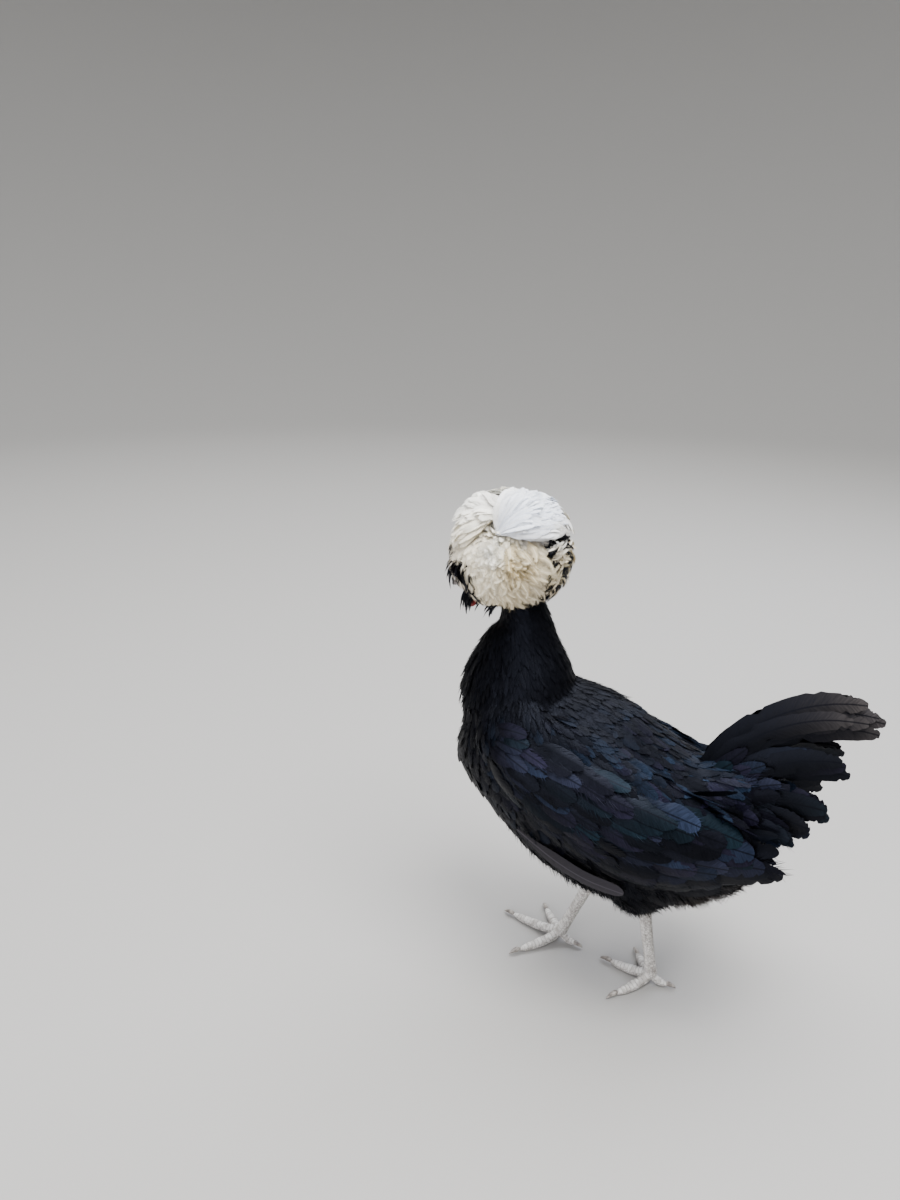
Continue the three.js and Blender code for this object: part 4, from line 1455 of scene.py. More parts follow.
PLUME_SHAPES = {
    PlumeKind.SHORT: FeatherShape(0.4, 0.45, 0.5, 0.66, 0.3, 7, 1, 20, 0.15, 0.012, 0.6, 1, 0.1),
    PlumeKind.FLUFFY: FeatherShape(0.4, 0.45, 0.55, 0.5, 0.3, 6, 1, 26, 0.19, 0.012, 0.9, 0, 0.1),
    PlumeKind.LONG: FeatherShape(0.22, 0.45, 0.5, 0.8, 0.3, 10, 1, 24, 0.09, 0.007, 0.4, 3, 0.1),
    PlumeKind.TUFT: FeatherShape(0.35, 0.4, 0.42, 0.5, 0.3, 7, 1, 34, 0.17, 0.009, 0.8, 1, 0.14),
}


@dataclass(frozen=True)
class Lock:
    """A lock of the crest: where its feathers part, and the arc that their tips reach."""

    parting: Point
    tips: tuple[Point, ...]
    count: int
    width: float
    reach: float
    kind: PlumeKind = PlumeKind.LONG
    outer: float = 1.0
    inner: float = 31.0
    curl: float = 0.38
    black: bool = False

    def pick(self, rng: Chance) -> Array:
        """Picks a tip on the arc or a little short of it.

        Args:
            rng: the source of chance.

        Returns:
            The tip's direction from the ball's middle.
        """
        arc = np.array(self.tips, float)
        place = rng.uniform(0, len(arc) - 1)
        k = min(int(place), len(arc) - 2)
        tip = unit(arc[k] + (arc[k + 1] - arc[k]) * (place - k))
        reach = 1 - (1 - self.reach) * rng.random() ** 1.4
        return unit(unit(self.parting) * (1 - reach) + tip * reach + rng.normal(0, 0.035, 3))


def mirrored(lock: Lock) -> Lock:
    """The same lock on the head's other side."""
    tips = tuple(tuple(on_side(tip, -1)) for tip in lock.tips)
    return replace(lock, parting=tuple(on_side(lock.parting, -1)), tips=tips)


CHEEK = Lock(
    (0.86, 0.45, 0.2),
    (
        (0.95, 0.0, 0.3),
        (0.98, -0.1, -0.1),
        (0.85, 0.1, -0.5),
        (0.6, 0.45, -0.66),
        (0.3, 0.8, -0.5),
        (0.0, 0.98, -0.1),
    ),
    330, 7.5, 0.25, PlumeKind.TUFT, 1.0,
    30.0,
    0.6,
)
REAR_RIM = Lock(
    (0.45, 0.75, 0.3),
    (
        (-0.3, 0.9, 0.34),
        (-0.38, 0.92, -0.05),
        (-0.36, 0.82, -0.42),
        (-0.2, 0.72, -0.66),
        (0.25, 0.6, -0.76),
    ),
    130, 3.8, 0.85, PlumeKind.FLUFFY, 0.97,
    black=True,
)
PALE_RIM = replace(
    REAR_RIM, parting=(0.6, 0.75, 0.1), count=80, width=3.4, reach=0.7, outer=0.98, black=False
)
BROW_RIM = Lock(
    (0.72, -0.68, 0.08),
    ((0.9, -0.35, -0.3), (0.85, -0.25, -0.45), (0.8, -0.08, -0.6), (0.68, 0.15, -0.72)),
    64, 3.8, 0.4, PlumeKind.SHORT, 1.0,
    black=True,
)
LOCKS = (
    # The fan that sweeps back from the parting
    Lock(
        (0.83, 0.16, 0.54),
        ((-0.2, 0.88, 0.4), (-0.41, 0.63, 0.66), (-0.19, 0.34, 0.92), (0.07, 0.06, 1.0)),
        400, 6.0, 0.5,
    ),
    Lock((0.8, 0.2, 0.52), ((0.15, 0.9, 0.42), (-0.15, 0.9, 0.42), (-0.3, 0.8, 0.52)), 130, 5.6, 0.5),
    # The forelock that falls over the brow
    Lock(
        (0.5, 0.12, 0.86),
        ((0.9, -0.4, 0.1), (0.72, -0.6, 0.32), (0.3, -0.78, 0.5), (-0.12, -0.7, 0.7)),
        260, 6.6, 0.45,
    ),
    # The far side, from a parting at the top
    Lock(
        (-0.3, 0.1, 0.95),
        ((-0.1, -0.8, 0.55), (-0.6, -0.66, 0.4), (-0.9, -0.3, 0.2), (-0.94, 0.2, 0.2)),
        240, 7.0, 0.4,
    ),
    Lock((-0.3, 0.1, 0.95), ((-0.94, 0.2, 0.2), (-0.7, 0.65, 0.25), (-0.3, 0.9, 0.3)), 180, 7.2, 0.4),
    *(lock for pair in (CHEEK, REAR_RIM, PALE_RIM, BROW_RIM) for lock in (pair, mirrored(pair))),
)


@dataclass
class Crest:
    """The globe of white feathers, its cream side, and the black band at the brow."""

    seed: int = 4207
    plumes: int = 1300
    brows: int = 420
    strands: int = 30
    whiskers: int = 40
    arc: float = math.radians(62)
    open_below: float = math.radians(30)
    face: Point = (0, -0.79, -0.61)
    face_opening: float = math.radians(36)
    cleft: Point = (0.46, 0.21, 0.86)
    cleft_width: float = math.radians(9)

    def patch(self, direction: Array) -> tuple[Array, float]:
        """Blends the patches, and their mirror images on the far side.

        Args:
            direction: a direction from the crest's middle.

        Returns:
            The linear colour and the share of black feathers there.
        """
        total, colour, black = 1e-9, np.zeros(3), 0.0
        for patch in CREST_PATCHES:
            towards = unit(patch.towards)
            far = direction.dot(on_side(towards, -1)) - (0.0 if towards[0] > 0.25 else 0.1)
            lean = max(direction.dot(towards), far)
            weight = math.exp(patch.tightness * (lean - 1)) * patch.tightness**0.5
            total += weight
            colour += weight * tint(patch.colour)
            black += weight * patch.black
        return colour / total, black / total

    def shade(self, direction: Array, rng: Chance) -> tuple[Array, bool]:
        """Colours of a crest feather.

        Args:
            direction: its tip's direction from the crest's middle.
            rng: the source of chance.

        Returns:
            Its root's and its tip's linear colours, and whether it is a black one.
        """
        colour, black = self.patch(direction)
        if rng.random() < black:
            return self.soot(rng), True
        tan = tint("#B8A67E")
        tip = colour * rng.uniform(0.82, 1.05)
        warm = np.clip(0.6 - direction[2], 0.0, 1) * 0.4
        root = tip * (1 - warm) + tan * warm
        return np.stack([root, np.minimum(tip, 0.97)]), False

    def bare(self, direction: Array) -> bool:
        """Whether a direction is left open for the neck and the face.

        Args:
            direction: a direction from the crest's middle.

        Returns:
            True where no white feather grows.
        """
        below = angle_between(direction, np.array([0, 0, -1.0])) < self.open_below
        return below or angle_between(direction, unit(self.face)) < self.face_opening

    def build(self) -> tuple[list[Plumes], list[Plumes]]:
        """Grows the plumes of the whole ball, then the long fans and cheek tufts on top.

        Returns:
            The white feathers and the black ones among them.
        """
        rng = np.random.default_rng(self.seed)
        groups = [Plumes(shape.template(20 + v)) for shape in PLUME_SHAPES.values() for v in range(3)]
        dark = [Plumes(group.template) for group in groups]
        pole = unit(CREST.whorl)
        cleft = unit(self.cleft)
        golden = math.pi * (3 - math.sqrt(5))
        for i in range(self.plumes):
            up = 1 - 2 * (i + 0.5) / self.plumes
            ring = math.sqrt(1 - up * up)
            direction = np.array([ring * math.cos(i * golden), ring * math.sin(i * golden), up])
            direction = unit(direction + rng.normal(0, 0.06, 3))
            if self.bare(direction):
                continue
            away = angle_between(direction, pole)
            # The ground cover stays lower on top, where the long locks sweep over it
            full = 0.8 + 0.18 * np.clip((0.35 - direction[2]) / 0.3, 0, 1)
            outer = CREST.outer * (full - 0.12 + 0.12 * rng.random() ** 0.5)
            share = max(0.3, 1 - self.arc / max(away, 0.05))
            line, outs = CREST.line(direction, share, outer, rng.normal(0, 0.35), 10)
            fluffy = 0.65 if direction[2] < 0.3 else 0.15
            kind = PlumeKind.FLUFFY if rng.random() < fluffy else PlumeKind.SHORT
            width = rng.uniform(6.5, 8.5) if kind is PlumeKind.SHORT else rng.uniform(7.5, 10)
            colour, black = self.shade(direction, rng)
            chosen, wide = (dark, width * 0.6) if black else (groups, width)
            chosen[kind.value * 3 + rng.integers(3)].add(line, outs, wide, colour, rng.normal(0, 0.35))
        for lock in LOCKS:
            ball = Ball(CREST.centre, lock.parting, lock.inner, CREST.outer)
            for _ in range(lock.count):
                direction = lock.pick(rng)
                if self.bare(direction) and not lock.black:
                    continue
                outer = CREST.outer * lock.outer * rng.uniform(0.92, 1.04)
                if angle_between(direction, cleft) < self.cleft_width:
                    outer *= 0.88
                smooth = lock.kind is PlumeKind.LONG
                share = rng.uniform(0, 0.3) if smooth else rng.uniform(0.15, 0.55)
                line, outs = ball.line(direction, share, outer, rng.normal(0, lock.curl), 10)
                colour, black = self.shade(direction, rng)
                if lock.black:
                    colour = self.soot(rng)
                elif black:
                    continue
                chosen = dark if lock.black else groups
                roll = rng.normal(0, 0.28 if smooth else 0.4)
                width = lock.width * rng.uniform(0.8, 1.2)
                chosen[lock.kind.value * 3 + rng.integers(3)].add(line, outs, width, colour, roll)
        return groups, dark

    def soot(self, rng: Chance) -> Array:
        """Root and tip colours of a black crest feather."""
        black = tint("#09080A")
        return np.stack([black, black * rng.uniform(1, 1.8)])

    def brow(self) -> list[Plumes]:
        """Grows the black feathers of the brow, and those that hang over cheeks and wattles.

        Returns:
            The feathers by template.
        """
        rng = np.random.default_rng(self.seed + 3)
        shape = FeatherShape(0.4, 0.4, 0.45, 0.55, 0.2, 5, 1, 8, 0.24, 0.02, 0.8, 0)
        strand = FeatherShape(0.4, 0.35, 0.4, 0.5, 0.2, 6, 1, 9, 0.2, 0.016, 0.8, 0)
        groups = [Plumes(kind.template(40 + v)) for kind in (shape, strand) for v in range(3)]
        black = tint("#070708")
        for _ in range(self.brows):
            around = rng.uniform(-110, 110)
            lowest = 122 - 40 * np.clip((abs(around) - 44) / 24, 0, 1)
            away, turn = math.radians(rng.uniform(36, lowest)), math.radians(around)
            ring = math.sin(away)
            tip = np.array([ring * math.sin(turn), -ring * math.cos(turn), math.cos(away)])
            line, outs = BROW.line(tip, 0.3, BROW.outer * rng.uniform(0.8, 1.08), rng.normal(0, 0.3), 6)
            colour = np.stack([black, black * rng.uniform(1, 2)])
            groups[rng.integers(3)].add(line, outs, rng.uniform(3.6, 5.6), colour, rng.normal(0, 0.25))
        for side in (1, -1):
            for _ in range(self.strands):
                share = rng.random()
                root = np.array([side * (13.5 + 5 * share), 3 + 16 * share, 7 - 8 * share])
                root = root + rng.normal(0, 1.2, 3)
                drop = np.array([side * rng.uniform(1, 5), rng.uniform(-9, -1), -rng.uniform(9, 15)])
                t = np.linspace(0, 1, 7)[:, None]
                bulge = np.array([side * 5.5, -2, 0]) * np.sin(t * math.pi * 0.7)
                line = head_to_body(root + drop * t + bulge)
                outs = np.tile(directions_to_body(unit(np.array([[side, -0.3, 0.2]]))), (7, 1))
                colour = np.stack([black, black * rng.uniform(1, 2.4)])
                group = groups[3 + rng.integers(3)]
                group.add(line, outs, rng.uniform(3.2, 4.8), colour, rng.normal(0, 0.4))
            for _ in range(self.whiskers):
                # Short whiskers from the cheek hang outside the wattle
                root = np.array([side * rng.uniform(10, 12.5), rng.uniform(-19, -9), rng.uniform(-7, -1)])
                drop = np.array([side * rng.uniform(-2, 1), rng.uniform(-5, 0), -rng.uniform(10, 16)])
                bulge = np.array([side * 2.5, 0, 0]) * np.sin(t * math.pi * 0.8)
                line = head_to_body(root + drop * t + bulge)
                colour = np.stack([black, black * rng.uniform(1, 2.4)])
                group = groups[3 + rng.integers(3)]
                group.add(line, outs, rng.uniform(2.4, 3.6), colour, rng.normal(0, 0.4))
        return groups

    def dress(self) -> None:
        """Keeps the crest and the brow as pieces."""
        light, shadow = self.build()
        soot = BLACK_PLUMAGE.material()
        white = plume_piece("crest_plumage", light, CREST_PLUMAGE.material())
        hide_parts("crest")
        dark = plume_piece("brow_plumage", self.brow(), soot)
        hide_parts("crest_front")
        for piece in white + plume_piece("crest_rim_plumage", shadow, soot):
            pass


# Wings and tail

FLIGHT = FeatherShape(0.3, 0.55, 0.76, 1.0, 0.12, 30, 3, splits=3, ragged=0.03)
TAIL_VANE = FeatherShape(0.3, 0.55, 0.72, 1.0, 0.12, 34, 3, splits=7, ragged=0.045)
WORN_VANE = FeatherShape(0.25, 0.5, 0.84, 1.0, 0.1, 26, 4, splits=0, ragged=0.01)
BROAD_COVERT = FeatherShape(0.4, 0.5, 0.6, 0.88, 0.2, 12, 2, 16, 0.11, 0.011, 0.3, 1, 0.04)
LOOSE_COVERT = FeatherShape(0.4, 0.5, 0.6, 0.62, 0.2, 10, 2, 20, 0.18, 0.011, 0.7, 1, 0.05)


def covert_groups(seed: int) -> list[Plumes]:
    """Empty groups for three broad and three loose kinds of covert, from a first seed."""
    return [Plumes(shape.template(seed + v)) for shape in (BROAD_COVERT, LOOSE_COVERT) for v in range(3)]


def flight_colour(rng: Chance, grey: float = 0.0, painted_sheen: float = 1.0) -> Array:
    """Root and tip colours of a flight feather.

    Args:
        rng: the source of chance.
        grey: how worn and grey its tip is.
        painted_sheen: how much painted blue, violet or teal sheen its tip may show.

    Returns:
        Two linear colours.
    """
    black, worn = (tint(code) for code in ("#040405", "#403C3A"))
    # Blue, violet and teal tips are painted sheen in place of glints of light
    sheen_colours = [tint(code) for code in ("#262F43", "#282B3D", "#262336", "#1C313C")]
    gloss = painted_sheen * rng.random() ** 2.0
    tip = black * (1 - gloss) + sheen_colours[int(rng.integers(4))] * gloss
    return np.stack([black, tip * rng.uniform(0.9, 1.25) * (1 - grey) + worn * grey])


@dataclass
class Wing:
    """A folded wing: primaries, secondaries and tiers of rounded coverts over its pad."""

    side: Side
    primaries: int = 5
    secondaries: int = 9
    shingle: float = 0.16
    steps: int = 10
    # Each tier of coverts: start and end along the pad, number, width and lift at the tip
    tiers: tuple[tuple[float, float, int, float, float], ...] = (
        (0.58, 0.82, 8, 18, 4.4),
        (0.52, 0.72, 9, 17, 4.8),
        (0.46, 0.64, 10, 16, 5.2),
        (0.41, 0.56, 11, 15, 5.4),
        (0.35, 0.49, 11, 14.5, 5.4),
        (0.29, 0.42, 12, 14, 5.2),
        (0.23, 0.355, 12, 13, 5.0),
        (0.17, 0.29, 11, 12, 4.6),
    )

    def line(
        self, start: tuple[float, float], end: tuple[float, float], lifts: Sequence[float]
    ) -> tuple[Array, Array]:
        """A feather's line over the pad and past its end.

        Args:
            start: its root's places along and across the pad.
            end: its tip's.
            lifts: its heights over the pad at root, middle and tip.

        Returns:
            The line and its outward directions.
        """
        t = np.linspace(0, 1, self.steps + 1)
        along = start[0] + (end[0] - start[0]) * t
        across = start[1] + (end[1] - start[1]) * t
        inside = np.minimum(along, 0.8)
        one = np.ones_like(t)
        place = wing_points(inside, across, one)
        normal = wing_normals(np.minimum(inside, 0.7), across)
        lift = np.interp(t, [0, 0.5, 1], lifts)[:, None]
        onward = wing_points(one * 0.8, across, one) - wing_points(one * 0.7, across, one)
        beyond = np.maximum(0, along - 0.8)[:, None]
        place = place + normal * lift + onward * beyond * 10
        mirror = np.array([self.side.value, 1, 1])
        return place * mirror, normal * mirror

    def build(self) -> list[Plumes]:
        """Grows the flight feathers and the tiers of coverts.

        Returns:
            The feathers by template.
        """
        rng = np.random.default_rng(500 + self.side.value)
        flights = [Plumes(FLIGHT.template(41 + v)) for v in range(3)]
        coverts = covert_groups(60)
        roll = self.shingle * self.side.value
        for i in range(self.primaries):
            share = i / (self.primaries - 1)
            start = (0.4, -0.86 + 0.16 * share)
            end = (0.68 + 0.24 * share, -0.98 + 0.34 * share + rng.uniform(-0.02, 0.02))
            line, outs = self.line(start, end, (-2.5, 0.6 + share, 1.0 + share))
            # Little painted sheen on the primaries along the lower edge
            flights[i % 3].add(line, outs, 14, flight_colour(rng, 0.1 * rng.random(), 0.15), roll)
        for i in range(self.secondaries):
            share = i / (self.secondaries - 1)
            start = (0.5, -0.5 + 1.12 * share)
            reach = 1.0 - 0.13 * share + rng.uniform(-0.03, 0.03)
            end = (reach, -0.42 + 1.16 * share + rng.uniform(-0.05, 0.05))
            line, outs = self.line(start, end, (-2.2, 1.8, 2.2 + rng.uniform(-0.4, 0.8)))
            # More painted sheen on the higher secondaries, which face the light from above
            colour = flight_colour(rng, 0.0, 0.2 + 0.6 * share)
            flights[i % 3].add(line, outs, rng.uniform(15, 18), colour, roll + rng.normal(0, 0.06))
        for tier, (first, last, count, width, lift) in enumerate(self.tiers):
            for i in range(count):
                share = (i + 0.5 * (tier % 2) + rng.uniform(-0.25, 0.25)) / count
                slide = rng.uniform(-0.025, 0.025)
                start = (first + slide, -0.82 + 1.5 * share)
                reach = last + slide + rng.uniform(-0.012, 0.012)
                end = (reach, -0.88 + 1.58 * share + rng.uniform(-0.05, 0.05))
                tip = lift * rng.uniform(0.7, 1.12)
                line, outs = self.line(start, end, (-1.6, tip * 0.72, tip))
                kind = rng.integers(3) + (3 if tier > 1 and rng.random() < 0.35 else 0)
                turn = roll + rng.normal(0, 0.13)
                # More painted sheen toward the upper edge, which faces the light from above
                colour = flight_colour(rng, 0.0, float(np.clip(0.05 + 1.3 * share, 0, 1)))
                coverts[kind].add(line, outs, width * rng.uniform(0.82, 1.12), colour, turn)
        return flights + coverts

    def dress(self) -> None:
        """Keeps the wing's large feathers as one piece in place of the wing's node, which it hides."""
        name = self.side.name.lower()
        pieces = plume_piece(f"wing_flights_{name}", self.build(), FLIGHT_PLUMAGE.material())
        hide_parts(f"wing_{name}")
        if self.side is Side.LEFT:
            self.dress_worn()

    def dress_worn(self) -> None:
        """The worn grey primary that hangs along the lower edge of the left wing."""
        rows = ((43, -66, 134), (45, -52, 125), (47.5, -34, 115), (49, -13, 106.5), (49.5, 11, 101.5))
        t = np.linspace(0, 1, 15)
        line = along_rows(rows, t)
        outs = np.tile(unit((0.9, -0.16, -0.38)), (len(t), 1))
        worn = Plumes(WORN_VANE.template(77))
        grey = tint("#2B292E")
        worn.add(line, outs, 16.5, np.stack([grey * 0.35, grey]))
        pieces = plume_piece("worn_primary", [worn], WORN_PLUMAGE.material())


@dataclass
class Tail:
    """The tent of tail feathers: seven on each side, with coverts over their bases."""

    top_root: tuple[float, float] = (38, 148)
    low_root: tuple[float, float] = (62, 158)
    vane_width: float = 22
    under: int = 30
    steps: int = 16
    coverts: int = 34
    layers: int = 3
    fan: tuple[Point, ...] = (
        (65, -11, 162),
        (63, -9, 150),
        (53, -8, 111),
        (48, -5, 109),
        (31, -12, 84),
        (23, -12, 80),
        (10, -18, 64),
    )

    def line(self, side: int, place: float, rise: float, end: float, length: float) -> tuple[Array, Array]:
        """One tail feather's line.

        Args:
            side: 1 for the left half of the tent and -1 for the right.
            place: the feather's place from the ridge, 0, to the lowest, 1.
            rise: its slope at the root, in degrees.
            end: its slope at the tip.
            length: its length.

        Returns:
            The line and its outward directions.
        """
        out = 3.5 + 20.5 * place
        y = self.top_root[0] + (self.low_root[0] - self.top_root[0]) * place
        z = self.top_root[1] + (self.low_root[1] - self.top_root[1]) * place
        line = []
        for i in range(self.steps + 1):
            share = i / self.steps
            line.append((side * (out * 0.35 + out * 0.65 * share), y, z))
            angle = math.radians(rise + (end - rise) * share**1.5)
            y += math.cos(angle) * length / self.steps
            z += math.sin(angle) * length / self.steps
        outs = np.tile(unit((side, 0, 0.25 * (1 - place))), (self.steps + 1, 1))
        return np.array(line), outs

    def build(self) -> list[Plumes]:
        """Grows the flight feathers of the tail and the coverts beside and under them.

        Returns:
            The feathers by template.
        """
        rng = np.random.default_rng(88)
        flights = [Plumes(TAIL_VANE.template(51 + v), fade=7.0) for v in range(3)]
        coverts = covert_groups(70)
        for side in (1, -1):
            for i, (rise, end, length) in enumerate(self.fan):
                place = i / (len(self.fan) - 1)
                for layer in range(self.layers):
                    spread = layer - (self.layers - 1) / 2
                    long = length * (1 - 0.05 * layer * rng.random())
                    droop = end + 4.5 * spread + rng.uniform(-2, 2)
                    line, outs = self.line(side, place, rise + 2.5 * spread, droop, long)
                    line[:, 0] += side * 1.2 * layer
                    width = self.vane_width * (0.8 - 0.1 * place) * rng.uniform(0.92, 1.04)
                    worn = 0.85 if i < 2 else 0.08
                    colour = flight_colour(rng, worn * rng.uniform(0.4, 1), 0.5)
                    turn = side * 0.08 + rng.normal(0, 0.05)
                    flights[(i + layer) % 3].add(line, outs, width, colour, turn)
            for i in range(self.coverts):
                place = i / (self.coverts - 1)
                rise = 62 - 66 * place + rng.uniform(-6, 6)
                length = rng.uniform(46, 78) * (1 - 0.2 * place)
                line, outs = self.line(side, place, rise, rise - rng.uniform(5, 34), length)
                line[:, 0] += side * np.linspace(4, 6 + 4 * rng.random(), len(line))
                kind = rng.integers(3) + (3 if place < 0.6 and rng.random() < 0.3 else 0)
                turn = side * 0.15 + rng.normal(0, 0.1)
                coverts[kind].add(line, outs, rng.uniform(12, 17), flight_colour(rng, 0.0, 0.8), turn)
            for _ in range(self.under):
                # Loose coverts that fill the tent from below, with little painted sheen
                place = rng.uniform(0.2, 0.85)
                rise, end, length = rng.uniform(-5, 40), rng.uniform(-15, 30), rng.uniform(36, 56)
                line, outs = self.line(side, place, rise, end, length)
                line[:, 0] *= rng.uniform(0.1, 0.55)
                colour, roll = flight_colour(rng, 0.0, 0.1), rng.normal(0, 0.5)
                coverts[3 + rng.integers(3)].add(line, outs, rng.uniform(12, 16), colour, roll)
        return flights + coverts

    def dress(self) -> None:
        """Keeps the tail's feathers as one piece in place of the tail's node, which it hides."""
        pieces = plume_piece("tail_flights", self.build(), FLIGHT_PLUMAGE.material())
        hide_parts("tail")


# Legs


@dataclass(frozen=True)
class Toe:
    """A toe: its name, its turn from straight ahead in degrees and its length."""

    name: str
    turn: float
    length: float


@dataclass(frozen=True)
class Leg:
    """A leg's joints and toes."""

    side: Side
    hip: Point
    hock: Point
    ankle: Point
    toes: tuple[Toe, ...]
    shank_length: float = 78.0
    toe_radius: float = 3.4
    claw_length: float = 8.0
    scute_mm: float = 3.1

    def between(self, low: Point, high: Point, t: float) -> list[float]:
        """A point between two joints."""
        return [a + (b - a) * t for a, b in zip(low, high)]

    def thigh_line(self) -> tuple[list[list[float]], list[float]]:
        """The feathered thigh's line and radii."""
        shares = (-0.15, 0, 0.4, 0.75, 1, 1.08)
        return [self.between(self.hip, self.hock, s) for s in shares], [20, 24, 24, 20, 14, 10]

    def toe_line(self, toe: Toe) -> list[list[float]]:
        """A toe's line from the ankle to the base of its claw.

        Args:
            toe: the toe.

        Returns:
            The line's points.
        """
        turn = math.radians(toe.turn)
        ahead = (math.sin(turn), -math.cos(turn))
        x, y, _ = self.ankle
        heights = ((0.3, 5.2), (0.65, self.toe_radius * 0.9), (1, 2.6))
        reach = [(toe.length * share, height) for share, height in heights]
        return [list(self.ankle)] + [[x + ahead[0] * r, y + ahead[1] * r, h] for r, h in reach]

    def scaled(self, move: Mould, length: float, front: Array) -> Mould:
        """Adds overlapping scutes down the front of a limb.

        Args:
            move: the limb's plain shape.
            length: its length.
            front: the direction that the scutes face.

        Returns:
            The limb's shape with its scutes.
        """

        def shaped(t: Array, angle: Array) -> Array:
            """The scaled surface, at places along the limb and angles about it."""
            base = move(t, angle)
            middle = (move(t, angle) + move(t, angle + math.pi)) / 2
            out = unit(base - middle)
            facing = np.clip(out @ front, 0, 1) ** 0.7
            phase = (t * length / self.scute_mm) % 1.0
            return base + out * (facing * (phase**2) * 0.42)[:, None]

        return shaped

    def mark(self, verts: list, limb: Any, line: Rows, front: Array) -> None:
        """Stores each vertex's length along its limb, and how much it faces the scutes' side.

        Args:
            verts: the limb's vertices.
            limb: the layer that takes the values.
            line: the limb's line.
            front: the direction that the scutes face.
        """
        points = np.array(line, float)
        steps = np.diff(points, axis=0)
        lengths = np.linalg.norm(steps, axis=1)
        starts = np.concatenate([[0], np.cumsum(lengths)[:-1]])
        for vert in verts:
            place = (np.array(vert.co) - SHIFT) / MM
            share = np.clip(((place - points[:-1]) * steps).sum(1) / lengths**2, 0, 1)
            near = points[:-1] + steps * share[:, None]
            away = np.linalg.norm(place - near, axis=1)
            k = int(np.argmin(away))
            out = (place - near[k]) / max(float(away[k]), 1e-6)
            vert[limb] = (float(starts[k] + share[k] * lengths[k]), float(out @ front), 0.0)

    def build_shank(self) -> Mesh:
        """The shank and its four toes, scaled and padded, cut level at the sole.

        Returns:
            The mesh, which also holds each vertex's length along its limb.
        """
        bm = bmesh.new()
        limb = bm.verts.layers.float_vector.new("limb")
        hock, ankle = self.hock, self.ankle
        line = [
            [hock[0], hock[1], hock[2] + 6],
            self.between(hock, ankle, 0),
            self.between(hock, ankle, 0.2),
            self.between(hock, ankle, 0.75),
            self.between(hock, ankle, 1),
            [ankle[0], ankle[1], ankle[2] - 5],
        ]
        ahead = np.array([0, -0.97, 0.2])
        plain = limb_points(line, [5, 6, 4.6, 4, 5, 4.4])
        made = moulded_ball(bm, 28, 130, self.scaled(plain, self.shank_length, ahead))
        self.mark(made, limb, line, ahead)
        for toe in self.toes:
            thin = 0.8 if toe.name == "hind" else 1.0
            radii = [4.2 * thin, self.toe_radius * thin, 3.1 * thin, 2.2 * thin]
            joints = limb_points(self.toe_line(toe), radii)

            def padded(t: Array, angle: Array, joints: Mould = joints) -> Array:
                """The toe's surface, swollen to pads between its joints."""
                base = joints(t, angle)
                middle = (joints(t, angle) + joints(t, angle + math.pi)) / 2
                swell = 1 + 0.09 * np.sin(t * 9.5) ** 2
                return middle + (base - middle) * swell[:, None]

            up = np.array([0, 0, 1.0])
            made = moulded_ball(bm, 22, 72, self.scaled(padded, toe.length + 4, up))
            self.mark(made, limb, self.toe_line(toe), up)
        floor = SHIFT[2]
        for vert in bm.verts:
            vert.co.z = max(vert.co.z, floor)
        return finish_mesh(bm, "shank")

    def build_claws(self) -> Mesh:
        """The four claws, each curved down to its point.

        Returns:
            The mesh.
        """
        bm = bmesh.new()
        for toe in self.toes:
            tip = self.toe_line(toe)[-1]
            turn = math.radians(toe.turn)
            long = self.claw_length * (0.75 if toe.name == "hind" else 1)
            line = [
                [tip[0] + math.sin(turn) * long * s, tip[1] - math.cos(turn) * long * s, h]
                for s, h in ((-0.3, 3.2), (0.1, 3.6), (0.6, 2.9), (1, 1.2))
            ]
            moulded_ball(bm, 16, 24, limb_points(line, [1.7, 1.9, 1.3, 0.5]))
        return finish_mesh(bm, "claws")

    def dress(self) -> None:
        """Keeps the scaled leg and its claws as pieces."""
        name = self.side.name.lower()
        leg = keep_object(f"leg_{name}", self.build_shank(), [LEG_SCALES.material()])
        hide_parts(f"shank_{name}")
        claws = keep_object(f"claws_{name}", self.build_claws(), [CLAW_HORN.material()])
        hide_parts(*[f"claw_{toe.name}_{name}" for toe in self.toes])


LEGS = (
    Leg(
        Side.LEFT,
        (25, 8, 118),
        (15, 25, 74),
        (13.4, 36, 9),
        (Toe("middle", -21, 34), Toe("outer", 41.6, 32), Toe("inner", -66, 29), Toe("hind", 176, 13)),
    ),
    Leg(
        Side.RIGHT,
        (-25, -36, 115),
        (-15, -10, 74),
        (-13.4, -36, 9),
        (Toe("middle", -22, 46), Toe("inner", 38.7, 38), Toe("outer", -62, 36), Toe("hind", 164, 13)),
    ),
)


